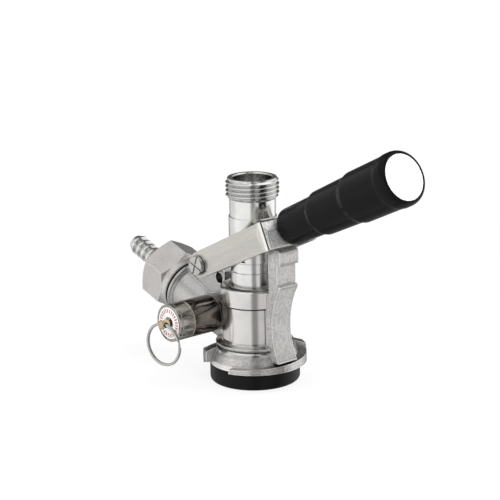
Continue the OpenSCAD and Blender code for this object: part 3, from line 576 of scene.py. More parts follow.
@dataclass(frozen=True)
class GrooveShade:
    """The grooves of a thread, which get painted shade.

    Attributes:
        low: Height of the thread's lower end.
        high: Height of its upper end.
        inner_r: Radius within which nothing is darkened.
        outer_r: Radius from which the crests get no painted shade.
    """

    low: float
    high: float
    inner_r: float
    outer_r: float

    def mask(self, sketch: Sketch, placing: Placing) -> Any:
        """Finds the grooves, for the painted shade.

        Args:
            sketch: The material being drawn.
            placing: The frame whose Z is the thread's axis.

        Returns:
            A socket that is 1 deep in the grooves and 0 elsewhere.
        """
        zone = sketch.bands(placing, ((self.low + self.high) / 2,), (self.high - self.low) / 1.5)
        groove = sketch.times(zone, sketch.inside(placing, self.outer_r, 0.55))
        return sketch.times(groove, sketch.less(1.0, sketch.inside(placing, self.inner_r)))


@dataclass(frozen=True)
class TurnedMetal(Finish):
    """Metal turned on a lathe and polished, with fine rings, smudges, lighter rubbed edges with a painted
    highlight, and painted shade.

    Attributes:
        placing: The frame whose Z the piece was turned round.
        rings: Mean width of the tool's rings.
        depth: Depth of those rings.
        edge: Width of its edge breaks.
        corner: Reach of the painted shade in its corners, or 0.
        wear_and_highlight: How much brighter it paints its rubbed edges and highlight rings, as painted
            highlight.
        bore: Radius of a bore along the axis that gets painted shade, or 0.
        thread: The painted shade in its thread's grooves, if it has one.
        highlight_rings: Heights of painted highlight rings along the axis.
        smudge: Size of its smudges.
    """

    placing: Placing = Placing.UPRIGHT
    rings: float = 0.1
    depth: float = 0.002
    edge: float = 0.25
    corner: float = 1.5
    wear_and_highlight: float = 1.35
    bore: float = 0.0
    thread: GrooveShade | None = None
    highlight_rings: tuple[float, ...] = ()
    smudge: float = 6.0

    def paint(self, sketch: Sketch) -> None:
        """Draws the tool's rings, smudges, rubbed edges with a painted highlight, and painted shade.

        Args:
            sketch: The material to draw.
        """
        normal, edge_wear_and_highlight = sketch.rounded(self.edge)
        rings, smudge = sketch.lines(self.placing, self.rings), sketch.noise(self.smudge, 4)
        tone = Tone(sketch, self.colour, sketch.spread(smudge, 0.3, 0.75), 1.04, 0.9)
        tone.over(sketch.spread(rings, 0.4, 0.62, 0, 0.2), 0.8)
        # Rubbed edges, lightened also as a painted highlight.
        tone.over(edge_wear_and_highlight, self.wear_and_highlight, 0.7)
        if self.corner:
            # Painted shade in the corners.
            tone.over(sketch.corners(self.corner, 0.15, 0.8), 0.15)
        if self.bore:
            # Painted shade inside the bore.
            tone.over(sketch.inside(self.placing, self.bore), 0.4, 0.35)
        if self.thread:
            # Painted shade in the thread's grooves.
            tone.over(self.thread.mask(sketch, self.placing), 0.2, 0.35)
        if self.highlight_rings:
            # Painted highlight rings on the polished edges.
            tone.over(sketch.bands(self.placing, self.highlight_rings, 0.22), self.wear_and_highlight)
        rough = sketch.plus(sketch.times(rings, 0.1), self.roughness - 0.08)
        rough = sketch.plus(rough, sketch.times(smudge, 0.1))
        relief = sketch.bump(rings, self.depth, normal)
        sketch.set(Base_Color=tone.socket, Metallic=1.0, Roughness=rough, Normal=relief)


@dataclass(frozen=True)
class BrushedMetal(Finish):
    """Metal brushed lengthwise, such as the lever's arms.

    Attributes:
        tilt: Tilt of the brushing over the horizontal, in degrees, in the XZ plane.
        edge: Width of its edge breaks.
        mark: Width of the brushing marks.
        smear: Width of the broader smears among them.
        depth: Depth of the marks.
        shine_at: Height along the lever of a painted highlight band next to the latch block.
    """

    tilt: float = LEVER_TILT
    edge: float = 0.4
    mark: float = 0.18
    smear: float = 2.2
    depth: float = 0.012
    shine_at: float = 47.2

    def paint(self, sketch: Sketch) -> None:
        """Draws brushing marks, patches, rubbed edges with a painted highlight, a painted highlight band, and
        painted shade in the corners.

        Args:
            sketch: The material to draw.
        """
        normal, edge_wear_and_highlight = sketch.rounded(self.edge)
        turn = (0, -self.tilt, 0)
        marks = sketch.noise(self.mark, 3, (40, 1, 1), turn)
        smears = sketch.noise(self.smear, 2, (14, 1, 1), turn)
        tone = Tone(sketch, self.colour, sketch.spread(marks, 0.3, 0.7), 0.9, 1.06)
        tone.over(sketch.spread(smears, 0.35, 0.7, 0, 0.6), 0.88)
        # Rubbed edges, lightened also as a painted highlight.
        tone.over(edge_wear_and_highlight, 1.35, 0.75)
        # A painted highlight band across the lever.
        tone.over(sketch.bands(Placing.GRIP, (self.shine_at,), 0.9), 1.3)
        # Painted shade in the corners.
        tone.over(sketch.corners(2, 0.3, 0.9, 0.9), 0.35)
        rough = sketch.plus(sketch.times(marks, 0.18), self.roughness - 0.09)
        relief = sketch.bump(marks, self.depth, normal)
        sketch.set(Base_Color=tone.socket, Metallic=1.0, Roughness=rough, Normal=relief)


@dataclass(frozen=True)
class Moulded(Finish):
    """Moulded plastic, lacquer or rubber.

    Attributes:
        gloss: Strength of its mirror-like reflection.
        grain: Size of its grain.
        depth: Depth of that grain.
        edge: Width of its rubbed edges, which also get a painted highlight.
        mark: Size of its handling marks.
    """

    gloss: float = 0.5
    grain: float = 0.4
    depth: float = 0.006
    edge: float = 0.3
    mark: float = 5.0

    def paint(self, sketch: Sketch) -> None:
        """Draws a fine grain, handling marks, and lighter rubbed edges that also get a painted highlight.

        Args:
            sketch: The material to draw.
        """
        normal, edge_wear_and_highlight = sketch.rounded(self.edge)
        marks = sketch.noise(self.mark, 4)
        tone = Tone(sketch, self.colour, sketch.spread(marks, 0.3, 0.75), 0.92, 1.1)
        # Rubbed edges, lightened also as a painted highlight.
        tone.over(edge_wear_and_highlight, 1.6, 0.3)
        rough = sketch.plus(sketch.times(marks, 0.14), self.roughness - 0.07)
        relief = sketch.bump(sketch.noise(self.grain, 4), self.depth, normal)
        sketch.set(Base_Color=tone.socket, Roughness=rough, Normal=relief, Specular_IOR_Level=self.gloss)


class Finishes(Enum):
    """The finishes on the coupler."""

    BODY = CastMetal(
        "cast body", (0.73, 0.708, 0.7), 0.32, edge=1.4, corner=4, blotch=0.4, turned=TurnedFaces(),
    )
    LATCH = CastMetal(
        "cast latch block", (0.82, 0.805, 0.785), 0.34, grain=0.6, depth=0.09, edge=1.1, corner=0.8,
        blotch=0.6, metal=0.7, gap_shade_at=48.5,
    )
    LEVER = BrushedMetal("brushed lever", (0.66, 0.64, 0.605), 0.26)
    PROBE = TurnedMetal(
        "polished probe", (0.82, 0.82, 0.81), 0.15, edge=0.12, corner=0, bore=8.75,
        thread=GrooveShade(low=80.6, high=88.1, inner_r=9.5, outer_r=11.2),
    )
    BUSH = TurnedMetal("turned gland bush", (0.62, 0.62, 0.61), 0.2, corner=3)
    SCREW = TurnedMetal("turned screws", (0.62, 0.61, 0.59), 0.22, rings=0.3, corner=0.6)
    HARDWARE = TurnedMetal("turned washer and nut", (0.55, 0.55, 0.54), 0.25, Placing.GRIP)
    TAILPIECE = TurnedMetal("polished hose barb", (0.86, 0.86, 0.85), 0.2, Placing.INLET, corner=0.4)
    NUT = CastMetal("blasted nut", (0.75, 0.725, 0.715), 0.42, grain=0.22, depth=0.03, edge=0.9)
    # The valve and its cap get painted highlights on their edges and on rings along their axis.
    VALVE = TurnedMetal(
        "dark polished valve", (0.2, 0.179, 0.161), 0.1, Placing.VALVE, rings=0.25, edge=0.3, wear_and_highlight=3.2,
        highlight_rings=(9.9, 23.6),
    )
    CAP = TurnedMetal(
        "polished valve cap", (0.47, 0.452, 0.415), 0.14, Placing.VALVE, rings=0.25, edge=0.3, wear_and_highlight=1.7,
        highlight_rings=(23.6,),
    )
    WIRE = TurnedMetal("bright wire", (0.55, 0.55, 0.535), 0.14, Placing.RING, rings=0.4, edge=0.1, corner=0.8)
    SPRING = TurnedMetal("spring steel", (0.42, 0.42, 0.42), 0.28, rings=0.5, edge=0.1)
    BRASS = TurnedMetal("brass stem", (0.66, 0.56, 0.38), 0.22, Placing.VALVE, rings=0.15)
    GRIP = Moulded("black grip", (0.0035, 0.0035, 0.004), 0.18, grain=0.8, depth=0.002, gloss=0.11)
    DISC = Moulded("white disc", (0.9, 0.9, 0.895), 0.32, gloss=0.4)
    NYLON = Moulded("white nylon", (0.78, 0.78, 0.76), 0.5)
    RUBBER = Moulded("black rubber", (0.0045, 0.0045, 0.005), 0.36, grain=0.35, depth=0.01, gloss=0.14)
    RED = Moulded("red print", (0.36, 0.016, 0.03), 0.5, gloss=0.2)

    def material(self) -> bpy.types.Material:
        """The finish's material."""
        return material_of(self.value)


def dress(finish: Finishes, *nodes: str) -> None:
    """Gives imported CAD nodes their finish.

    Args:
        finish: The finish.
        *nodes: Names of the nodes.
    """
    for name in nodes:
        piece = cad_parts[name]
        for slot in piece.material_slots:
            slot.material = finish.material()
        if not piece.material_slots:
            piece.data.materials.append(finish.material())
        log.info("dressed %s in %s", name, finish.value.name)


# Shapes


def put(name: str, data: Any) -> bpy.types.Object:
    """Puts a mesh, a lamp or a camera into the scene.

    Args:
        name: The object's name.
        data: What it shows.

    Returns:
        The object.
    """
    made = bpy.data.objects.new(name, data)
    bpy.context.scene.collection.objects.link(made)
    return made


def mesh_from(name: str, shape: bmesh.types.BMesh) -> bpy.types.Mesh:
    """Ends the work on a shape.

    Args:
        name: The mesh's name.
        shape: The shape, which is freed.

    Returns:
        The mesh.
    """
    mesh = bpy.data.meshes.new(name)
    shape.to_mesh(mesh)
    shape.free()
    return mesh


def lathe(name: str, profile: Sequence[tuple[float, float]], steps: int) -> bpy.types.Mesh:
    """Turns a closed profile round Z.

    Args:
        name: The mesh's name.
        profile: Radii and heights, as a closed loop off the axis.
        steps: Number of steps round the axis.

    Returns:
        A closed mesh in metres, with its faces outwards.
    """
    shape = bmesh.new()
    rings = []
    for step in range(steps):
        turn = 2 * math.pi * step / steps
        rings.append([
            shape.verts.new((r * math.cos(turn) * MM, r * math.sin(turn) * MM, z * MM)) for r, z in profile
        ])
    for step in range(steps):
        here, there = rings[step], rings[(step + 1) % steps]
        for k in range(len(profile)):
            n = (k + 1) % len(profile)
            shape.faces.new((here[k], there[k], there[n], here[n]))
    bmesh.ops.recalc_face_normals(shape, faces=shape.faces)
    return mesh_from(name, shape)


def settled(piece: bpy.types.Object) -> bpy.types.Mesh:
    """Turns a piece with modifiers into its plain result.

    Args:
        piece: The piece, which loses its modifiers.

    Returns:
        The new mesh, which the piece then has.
    """
    graph = bpy.context.evaluated_depsgraph_get()
    graph.update()
    mesh = bpy.data.meshes.new_from_object(piece.evaluated_get(graph))
    piece.modifiers.clear()
    piece.data = mesh
    return mesh


class NodeShape(Tree):
    """A Geometry Nodes tree with named inputs, which makes one plain mesh."""

    def __init__(self, name: str, inputs: dict[str, float | int]) -> None:
        """Starts the tree.

        Args:
            name: The tree's name.
            inputs: Its inputs and their first values; whole numbers make whole-number inputs.
        """
        super().__init__(bpy.data.node_groups.new(name, "GeometryNodeTree"))
        face = self.tree.interface
        face.new_socket("Geometry", in_out="INPUT", socket_type="NodeSocketGeometry")
        for key, value in inputs.items():
            kind = "NodeSocketInt" if isinstance(value, int) else "NodeSocketFloat"
            face.new_socket(key, in_out="INPUT", socket_type=kind).default_value = value
        face.new_socket("Finish", in_out="INPUT", socket_type="NodeSocketMaterial")
        face.new_socket("Geometry", in_out="OUTPUT", socket_type="NodeSocketGeometry")
        self.given = self.node("NodeGroupInput").outputs

    def metres(self, key: str) -> Any:
        """An input that is given in millimetres, turned into metres."""
        return self.times(self.given[key], MM)

    def end(self, geometry: Any) -> None:
        """Ends the tree in plain geometry with its finish.

        Args:
            geometry: The finished geometry's socket.
        """
        real = self.out("GeometryNodeRealizeInstances", {"Geometry": geometry})
        dressed = self.out("GeometryNodeSetMaterial", {"Geometry": real, "Material": self.given["Finish"]})
        self.node("NodeGroupOutput", {"Geometry": dressed})

    def make(
        self, name: str, finish: Finishes, placing: Placing, start: bpy.types.Mesh | None = None,
        **values: float | int,
    ) -> bpy.types.Object:
        """Runs the tree once.

        Args:
            name: The piece's name.
            finish: Its finish.
            placing: The frame that it is built in.
            start: The mesh that the tree works on, where it needs one.
            **values: Inputs, with _ for a space.

        Returns:
            The piece in its place, as a plain smooth mesh with sharp edges.
        """
        piece = put(name, start or bpy.data.meshes.new(name))
        modifier = piece.modifiers.new("Shape", "NODES")
        modifier.node_group = self.tree
        for item in self.tree.interface.items_tree:
            if item.in_out != "INPUT":
                continue
            key = item.name.replace(" ", "_")
            if key == "Finish":
                modifier[item.identifier] = finish.material()
            elif key in values:
                modifier[item.identifier] = values[key]
        mesh = settled(piece)
        bpy.data.objects.remove(piece)
        mesh.transform(placing.in_metres())
        mesh.name = name
        for face in mesh.polygons:
            face.use_smooth = True
        mesh.set_sharp_from_angle(angle=SHARP_ANGLE)
        return put(name, mesh)


class Coil(NodeShape):
    """Round or flattened wire wound on a cylinder, with closed end turns."""

    def __init__(self) -> None:
        """Builds the tree: a flat spiral lifted step by step, with the wire swept along it."""
        super().__init__("wound wire", {
            "Radius": 5.0, "Turns": 8.0, "Across": 0.5, "Along": 0.5, "Low": 0.0, "High": 20.0,
            "Flat Share": 0.1, "Steps": 32,
        })
        size, flat = self.metres("Radius"), self.given["Flat Share"]
        spiral = self.out("GeometryNodeCurveSpiral", {
            "Resolution": self.given["Steps"], "Rotations": self.given["Turns"],
            "Start Radius": size, "End Radius": size, "Height": 0.0,
        })
        rise = self.out("ShaderNodeMapRange", {
            "Value": self.node("GeometryNodeSplineParameter").outputs["Factor"],
            "From Min": flat, "From Max": self.less(1.0, flat),
            "To Min": self.metres("Low"), "To Max": self.metres("High"),
        })
        lifted = self.out("GeometryNodeSetPosition", {"Geometry": spiral, "Offset": self.xyz(z=rise)})
        steady = self.out("GeometryNodeSetCurveNormal", {"Curve": lifted}, mode="Z_UP")
        ring = self.out("GeometryNodeCurvePrimitiveCircle", {"Resolution": 14, "Radius": MM})
        shape = self.xyz(self.given["Across"], self.given["Along"], 1.0)
        wire = self.out("GeometryNodeTransform", {"Geometry": ring, "Scale": shape})
        self.end(self.out("GeometryNodeCurveToMesh", {
            "Curve": steady, "Profile Curve": wire, "Fill Caps": True,
        }))


@dataclass(frozen=True)
class Winding:
    """Wire to be wound on a cylinder.

    Attributes:
        radius: Radius to the middle of the wire.
        turns: Number of its turns.
        across: Half width of the wire, square to the axis.
        along: Half thickness of the wire, along the axis.
        low: Height of the winding's lower end.
        high: Height of its upper end.
        flat: Turns that lie flat at each end.
        steps: Steps in a turn.
    """

    radius: float
    turns: float
    across: float
    along: float
    low: float
    high: float
    flat: float
    steps: int

    def wind(self, coil: Coil, name: str, finish: Finishes, placing: Placing) -> bpy.types.Object:
        """Winds the wire.

        Args:
            coil: The tree that winds it.
            name: The piece's name.
            finish: Its finish.
            placing: The frame whose Z it is wound round.

        Returns:
            The piece.
        """
        return coil.make(
            name, finish, placing, Radius=self.radius, Turns=self.turns, Across=self.across, Along=self.along,
            Low=self.low + self.along, High=self.high - self.along, Flat_Share=self.flat / self.turns,
            Steps=self.steps,
        )


class CutThread(NodeShape):
    """A helical thread cut into the outside of a turned piece."""

    def __init__(self) -> None:
        """Builds the tree: points over the groove's radius move in to it."""
        super().__init__("cut thread", {"Crest": 10.0, "Depth": 1.0, "Pitch": 2.0, "Low": 0.0})
        x, y, z = self.node("ShaderNodeSeparateXYZ", {0: self.out("GeometryNodeInputPosition")}).outputs
        radius = self.vector("LENGTH", self.xyz(x, y))
        height = self.math("DIVIDE", z, self.metres("Pitch"))
        phase = self.less(self.times(height, 2 * math.pi), self.math("ARCTAN2", y, x))
        wave = self.times(self.plus(self.math("COSINE", phase), 1.0), 0.5)
        groove = self.times(self.less(self.given["Crest"], self.times(self.given["Depth"], wave)), MM)
        share = self.math("DIVIDE", self.math("MINIMUM", radius, groove), radius)
        self.end(self.out("GeometryNodeSetPosition", {
            "Geometry": self.given["Geometry"],
            "Selection": self.math("GREATER_THAN", z, self.metres("Low")),
            "Position": self.xyz(self.times(x, share), self.times(y, share), z),
        }))


class TickMarks(NodeShape):
    """A printed ring of plain radial ticks inside a thin circle."""

    def __init__(self) -> None:
        """Builds the tree: ticks set round a circle, and a flat circle outside them."""
        super().__init__("tick marks", {
            "Radius": 5.0, "Length": 1.0, "Width": 0.3, "Thickness": 0.03, "Height": 0.0,
            "Circle Radius": 6.0, "Count": 24,
        })
        width, thickness = self.metres("Width"), self.metres("Thickness")
        points = self.out("GeometryNodeMeshCircle", {
            "Vertices": self.given["Count"], "Radius": self.metres("Radius"),
        })
        tick = self.out("GeometryNodeMeshCube", {"Size": self.xyz(self.metres("Length"), width, thickness)})
        step = self.math("DIVIDE", 2 * math.pi, self.given["Count"])
        turn = self.xyz(z=self.times(self.out("GeometryNodeInputIndex"), step))
        ticks = self.out("GeometryNodeInstanceOnPoints", {"Points": points, "Instance": tick, "Rotation": turn})
        line = self.out("GeometryNodeCurvePrimitiveCircle", {
            "Resolution": 96, "Radius": self.metres("Circle Radius"),
        })
        thin = self.math("DIVIDE", width, 3)
        strip = self.out("GeometryNodeCurvePrimitiveQuadrilateral", {0: thin, 1: thickness})
        band = self.out("GeometryNodeCurveToMesh", {"Curve": line, "Profile Curve": strip})
        both = self.node("GeometryNodeJoinGeometry", {0: ticks})
        self.feed(both.inputs[0], band)
        self.end(self.out("GeometryNodeTransform", {
            "Geometry": both.outputs[0], "Translation": self.xyz(z=self.metres("Height")),
        }))


# Sub-assemblies


@dataclass
class ProbeAssembly:
    """The sliding probe with its cut beer thread, seal, ball and retainer.

    Attributes:
        tip: Height of its lower end.
        top: Height of its upper end.
        thread_r: Radius over the thread's crests.
        thread_depth: Depth of the thread.
        thread_pitch: Pitch of the thread, 14 turns to the inch.
        thread_low: Height of the shoulder under the thread.
        root_r: Radius of the neck under the thread.
        run_in: Half height of the slope from the neck to the crests.
        flat_y: Distance of the drive pins' flats from the axis.
        pin_z: Height of the drive pins.
        pin_room: Half height of the flats.
        steps: Steps round the axis.
    """

    tip: float = 2.6
    top: float = 89.3
    thread_r: float = 11.455
    thread_depth: float = 1.162
    thread_pitch: float = 1.814
    thread_low: float = 80.9
    root_r: float = 9.87
    run_in: float = 0.75
    flat_y: float = 8.6
    pin_z: float = 56.676
    pin_room: float = 2.7
    steps: int = 160

    def profile(self) -> list[tuple[float, float]]:
        """Radii and heights of the probe's wall, up its outside and down its bore.

        Returns:
            The closed profile.
        """
        crest_low, crest_high = self.thread_low + self.run_in, self.top - 1.375
        rows, slope_rows = 42, 8
        nose = [(8.8, self.tip), (9.3, self.tip + 0.5), (9.3, 3.7)]
        seal_groove = [(8.1, 3.7), (8.1, 7.1), (9.3, 7.1), (9.3, 8.2)]
        waist = [(8.3, 9.3), (8.3, 29.9)]
        stem = [(9.75, 31.4), (9.75, 48.6), (9.45, 48.9), (9.75, 49.2), (9.75, 53.157)]
        head = [(10.05, 53.157), (10.3, 53.407), (10.3, 72.55), (self.root_r, 72.8)]
        slope = [
            (
                self.root_r + (self.thread_r - self.root_r) * k / slope_rows,
                self.thread_low - self.run_in + 2 * self.run_in * k / slope_rows,
            )
            for k in range(slope_rows)
        ]
        crest = [(self.thread_r, crest_low + (crest_high - crest_low) * k / rows) for k in range(rows + 1)]
        rim = [(11.1, self.top - 0.95), (10.705, self.top - 0.5), (10.705, self.top - 0.25), (10.455, self.top)]
        mouth = [(8.9, self.top), (8.4, self.top - 0.5), (8.4, self.top - 10)]
        bore = [(6.2, self.top - 13), (6.2, 8.7), (3.5, 6.0), (3.5, self.tip)]
        return nose + seal_groove + waist + stem + head + slope + crest + rim + mouth + bore

    def flats(self, piece: bpy.types.Object) -> None:
        """Mills the two flats that the lever's drive pins work in.

        Args:
            piece: The threaded probe.
        """
        cutters, wide, deep = [], 24, 10
        for side in (-1, 1):
            shape = bmesh.new()
            bmesh.ops.create_cube(shape, size=1)
            middle = (0, side * (self.flat_y + deep / 2) * MM, self.pin_z * MM)
            scale = Matrix.Diagonal((wide * MM, deep * MM, 2 * self.pin_room * MM, 1))
            bmesh.ops.transform(shape, matrix=Matrix.Translation(middle) @ scale, verts=shape.verts)
            cutters.append(put("flat cutter", mesh_from("flat cutter", shape)))
            cut = piece.modifiers.new("Flat", "BOOLEAN")
            cut.operation, cut.solver, cut.object = "DIFFERENCE", "EXACT", cutters[-1]
        settled(piece).set_sharp_from_angle(angle=SHARP_ANGLE)
        for cutter in cutters:
            bpy.data.objects.remove(cutter)

    def build(self) -> None:
        """Makes the threaded probe and dresses what it carries."""
        blank = lathe("probe blank", self.profile(), self.steps)
        piece = CutThread().make(
            "probe_threaded", Finishes.PROBE, Placing.UPRIGHT, blank,
            Crest=self.thread_r, Depth=self.thread_depth, Pitch=self.thread_pitch, Low=self.thread_low - 0.8,
        )
        self.flats(piece)
        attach(piece, Body.PROBE.value)
        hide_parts("probe")
        dress(Finishes.RUBBER, "probe_seal")
        dress(Finishes.NYLON, "check_ball")
        dress(Finishes.BUSH, "ball_retainer")
        log.info("probe: %d faces with a cut thread", len(piece.data.polygons))


@dataclass
class BodyAssembly:
    """The cast body with its seal, gland bush, O-ring and hinge screws."""

    def build(self) -> None:
        """Dresses the body and what is fixed to it."""
        dress(Finishes.BODY, "body")
        dress(Finishes.RUBBER, "base_seal", "body_oring")
        dress(Finishes.BUSH, "gland_bush")
        dress(Finishes.SCREW, "hinge_screws")


@dataclass
class LeverAssembly:
    """The lever yoke with its latch and grip.

    Attributes:
        latch_spring: The spring on the lever's stem.
    """

    latch_spring: Winding = Winding(
        radius=4.35, turns=9.0, across=0.45, along=0.45, low=59.5, high=85.4, flat=0.75, steps=32,
    )

    def build(self, coil: Coil) -> None:
        """Dresses the lever and winds the latch spring.

        Args:
            coil: The tree that winds wire.
        """
        dress(Finishes.LEVER, "lever_yoke")
        dress(Finishes.LATCH, "latch_block")
        dress(Finishes.HARDWARE, "stem_washer", "stem_nut")
        dress(Finishes.GRIP, "grip")
        dress(Finishes.DISC, "grip_disc")
        spring = self.latch_spring.wind(coil, "latch_spring_wound", Finishes.SPRING, Placing.GRIP)
        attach(spring, Body.LEVER.value)
        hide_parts("latch_spring")
        log.info("lever: latch spring with %g turns", self.latch_spring.turns)


@dataclass
class GasInlet:
    """The gas nut, the hose barb and the seals in the inlet."""

    def build(self) -> None:
        """Dresses the inlet's pieces."""
        dress(Finishes.NUT, "gas_nut")
        dress(Finishes.TAILPIECE, "gas_tailpiece")
        dress(Finishes.RUBBER, "gas_washer", "gas_check_valve")


@dataclass
class ReliefValve:
    """The relief valve with its spring, marked disc and split pull ring.

    Attributes:
        valve_spring: The spring that keeps the poppet shut.
        split_ring: The pull ring, whose two turns lie side by side.
        disc_face: Distance of the disc's face from the middle plane.
        tick_r: Radius of the ring of ticks.
        tick_count: Number of ticks.
        circle_r: Radius of the printed circle.
    """

    valve_spring: Winding = Winding(
        radius=2.2, turns=6.0, across=0.4, along=0.4, low=9.2, high=23.0, flat=0.6, steps=28,
    )
    split_ring: Winding = Winding(
        radius=9.05, turns=1.95, across=0.55, along=0.375, low=-0.75, high=0.75, flat=0.858, steps=72,
    )
    disc_face: float = 31.575
    tick_r: float = 5.2
    tick_count: int = 26
    circle_r: float = 6.1

    def wind(self, coil: Coil) -> None:
        """Winds the valve's spring and its split ring.

        Args:
            coil: The tree that winds wire.
        """
        spring = self.valve_spring.wind(coil, "relief_spring_wound", Finishes.SPRING, Placing.VALVE)
        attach(spring, Body.ROOT.value)
        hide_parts("relief_spring")
        ring = self.split_ring.wind(coil, "split_pull_ring", Finishes.WIRE, Placing.RING)
        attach(ring, Body.RING.value)
        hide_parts("pull_ring")

    def marks(self) -> None:
        """Prints the plain red circle and ticks on the valve's disc."""
        piece = TickMarks().make(
            "valve_disc_ticks", Finishes.RED, Placing.VALVE, Radius=self.tick_r, Length=1.35, Width=0.55,
            Thickness=0.04, Height=self.disc_face, Circle_Radius=self.circle_r, Count=self.tick_count,
        )
        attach(piece, Body.ROOT.value)

    def build(self, coil: Coil) -> None:
        """Dresses the valve and makes its wound and printed pieces.

        Args:
            coil: The tree that winds wire.
        """
        dress(Finishes.VALVE, "relief_body")
        dress(Finishes.CAP, "relief_cap")
        dress(Finishes.RUBBER, "relief_gasket", "relief_poppet")
        dress(Finishes.DISC, "relief_disc")
        dress(Finishes.BRASS, "relief_stem")
        self.wind(coil)
        self.marks()
        log.info("relief valve: spring, split ring and %d ticks", self.tick_count)


# Studio

# Brightness that polished metal sees, by degrees round from the camera's direction.
WALLS: Stops = (
    (-180, 0.1), (-156, 0.14), (-142, 0.7), (-104, 0.84), (-88, 1.12), (-14, 1.0), (-5, 0.14), (9, 0.14),
    (16, 0.72), (40, 0.68), (50, 0.1), (68, 0.1), (80, 1.15), (125, 1.3), (144, 0.8), (156, 0.14), (180, 0.1),
)
# Share of it by height, from straight down to straight up.
HEIGHTS: Stops = (
    (-1, 0.55), (-0.5, 0.7), (-0.31, 0.84), (-0.18, 1.0), (0.32, 1.0), (0.45, 0.62), (0.58, 0.62), (0.72, 1.0),
    (1, 0.95),
)
WHITE = (1, 1, 1, 1)


def ramp(tree: Tree, value: Any, reach: float, stops: Stops, blue: float = 1.0) -> Any:
    """Turns a number into a grey by eased stops.

    Args:
        tree: The world's tree.
        value: The number's socket.
        reach: The number's range, from -reach to reach.
        stops: Places over that range, in a unit of their own, and their levels.
        blue: Share of blue in the greys.

    Returns:
        The colour's socket.
    """
    share = tree.out("ShaderNodeMapRange", {"Value": value, "From Min": -reach, "From Max": reach})
    made = tree.node("ShaderNodeValToRGB", {"Fac": share})
    made.color_ramp.interpolation = "EASE"
    row, low, high = made.color_ramp.elements, stops[0][0], stops[-1][0]
    for at, _ in stops[1:-1]:
        row.new((at - low) / (high - low))
    for stop, (_, level) in zip(row, stops):
        stop.color = (level, level, level * blue, 1)
    return made.outputs["Color"]


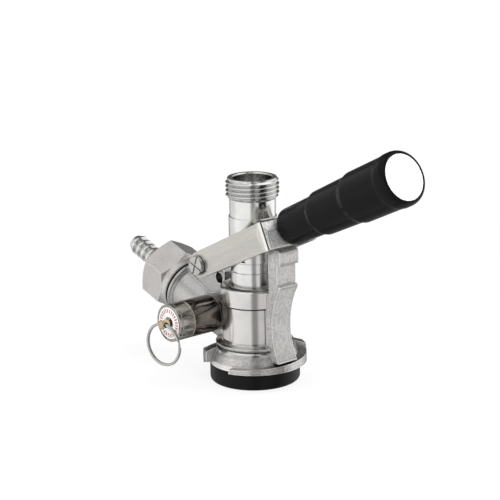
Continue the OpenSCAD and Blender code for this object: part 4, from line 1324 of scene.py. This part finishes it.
@dataclass
class Studio:
    """A white studio: floor, soft lamps, surroundings and the photograph's camera.

    Attributes:
        azimuth: Direction of the camera from the object, in degrees from -Y towards +X.
        distance: Its distance over the floor.
        height: Its height over the floor.
        yaw: Turn of its view away from the probe's axis, in degrees.
        pitch: How far it looks down, in degrees.
        roll: Its roll, in degrees.
        focal: Its focal length, in pixels.
        width: Width of the photograph, in pixels.
        sensor: Width of the camera's sensor.
        floor_r: Radius of the floor, in metres.
        floor_drop: How far the floor lies under the coupler, in metres.
        floor_tone: The floor's own brightness.
        fade: Distances over which the floor turns white, in metres.
        white_near: How white the camera sees it at the nearer one.
        unseen: How little polished metal sees of the floor, from 0 to 1.
        aim: The point that the lamps shine at, in metres.
    """

    azimuth: float = 49.6
    distance: float = 732.386
    height: float = 248.502
    yaw: float = 0.11
    pitch: float = 14.639
    roll: float = -0.949
    focal: float = 1770.99
    width: float = 500.0
    sensor: float = 36.0
    floor_r: float = 6.0
    floor_drop: float = 0.0002
    floor_tone: float = 0.9
    fade: tuple[float, float] = (0.1, 0.32)
    white_near: float = 0.84
    unseen: float = 0.85
    aim: Point = (0.01, 0, 0.045)

    def camera(self) -> None:
        """Sets up the camera at the photograph's angle."""
        lens = bpy.data.cameras.new("photo camera")
        lens.sensor_width = self.sensor
        lens.lens = self.focal * self.sensor / self.width
        lens.clip_end = 100
        eye = put("photo camera", lens)
        place = turned(self.azimuth, "Z") @ Vector((0, -self.distance, self.height))
        view = turned(self.azimuth + self.yaw, "Z") @ turned(90 - self.pitch, "X") @ turned(self.roll, "Z")
        eye.matrix_world = Matrix.Translation(place * MM) @ view
        bpy.context.scene.camera = eye

    def lamp(self, name: str, place: Point, size: float, power: float) -> None:
        """Hangs a square softbox that points at the coupler.

        Args:
            name: The lamp's name.
            place: Its place, in metres.
            size: Its side, in metres.
            power: Its power, in watts.
        """
        light = bpy.data.lights.new(name, "AREA")
        light.size, light.energy = size, power
        lamp = put(name, light)
        lamp.location = place
        ahead = Vector(self.aim) - Vector(place)
        lamp.rotation_euler = ahead.to_track_quat("-Z", "Y").to_euler()
        lamp.visible_glossy = False

    def surroundings(self) -> None:
        """Makes the world: white to the camera, and white with dark gaps to polished metal."""
        world = bpy.data.worlds.new("studio")
        bpy.context.scene.world = world
        world.use_nodes = True
        tree = Tree(world.node_tree)
        tree.tree.nodes.clear()
        ahead = tree.out("ShaderNodeMapping", {
            "Vector": tree.node("ShaderNodeTexCoord").outputs["Generated"],
            "Rotation": (0, 0, math.radians(90 - self.azimuth)),
        }, vector_type="POINT")
        x, y, z = tree.node("ShaderNodeSeparateXYZ", {0: ahead}).outputs
        walls = ramp(tree, tree.math("ARCTAN2", y, x), math.pi, WALLS, blue=0.985)
        shares = ramp(tree, z, 1.0, HEIGHTS)
        around = tree.node("ShaderNodeMix", {
            0: 1.0, 6: walls, 7: shares,
        }, data_type="RGBA", blend_type="MULTIPLY")
        shiny, white, soft = (
            tree.out("ShaderNodeBackground", {"Color": colour, "Strength": strength})
            for colour, strength in ((around.outputs[2], 1.0), (WHITE, 1.0), (WHITE, 0.7))
        )
        path = tree.node("ShaderNodeLightPath").outputs
        clear = tree.math("MAXIMUM", path["Is Camera Ray"], path["Is Transmission Ray"])
        first = tree.out("ShaderNodeMixShader", {0: path["Is Glossy Ray"], 1: soft, 2: shiny})
        second = tree.out("ShaderNodeMixShader", {0: clear, 1: first, 2: white})
        tree.node("ShaderNodeOutputWorld", {"Surface": second})

    def floor(self) -> None:
        """Lays a pale floor that takes the shadow and fades into the white surroundings."""
        shape = bmesh.new()
        bmesh.ops.create_circle(shape, cap_ends=True, radius=self.floor_r, segments=64)
        floor = put("floor", mesh_from("floor", shape))
        floor.location = (0, 0, -self.floor_drop)
        sketch = Sketch("white floor")
        sketch.tree.nodes.remove(sketch.shader)
        path = sketch.node("ShaderNodeLightPath").outputs
        faded = sketch.spread(sketch.vector("LENGTH", sketch.place), *self.fade, self.white_near, 1)
        dull = sketch.out("ShaderNodeBsdfDiffuse", {"Color": opaque((self.floor_tone,) * 3)})
        lit = sketch.out("ShaderNodeMixShader", {
            0: sketch.times(faded, path["Is Camera Ray"]), 1: dull, 2: sketch.out("ShaderNodeEmission"),
        })
        hidden = sketch.times(path["Is Glossy Ray"], self.unseen)
        top = sketch.out("ShaderNodeMixShader", {
            0: hidden, 1: lit, 2: sketch.out("ShaderNodeBsdfTransparent"),
        })
        sketch.feed(sketch.output.inputs["Surface"], top)
        floor.data.materials.append(sketch.material)

    def build(self) -> None:
        """Sets up the whole studio."""
        bpy.context.scene.view_settings.view_transform = "Standard"
        self.camera()
        self.surroundings()
        self.floor()
        self.lamp("key softbox", (-0.35, -0.75, 0.85), size=0.5, power=5.0)
        self.lamp("top softbox", (0.25, 0.35, 0.95), size=0.6, power=4.0)
        self.lamp("side softbox", (0.95, -0.25, 0.45), size=0.5, power=6.0)
        log.info("studio: camera, floor, surroundings and three softboxes")


def main() -> None:
    """Builds the coupler's sub-assemblies in order, then the studio."""
    logging.basicConfig(level=logging.INFO, format="%(message)s")
    coil = Coil()
    BodyAssembly().build()
    ProbeAssembly().build()
    LeverAssembly().build(coil)
    GasInlet().build()
    ReliefValve().build(coil)
    Studio().build()


if __name__ == "__main__":
    main()
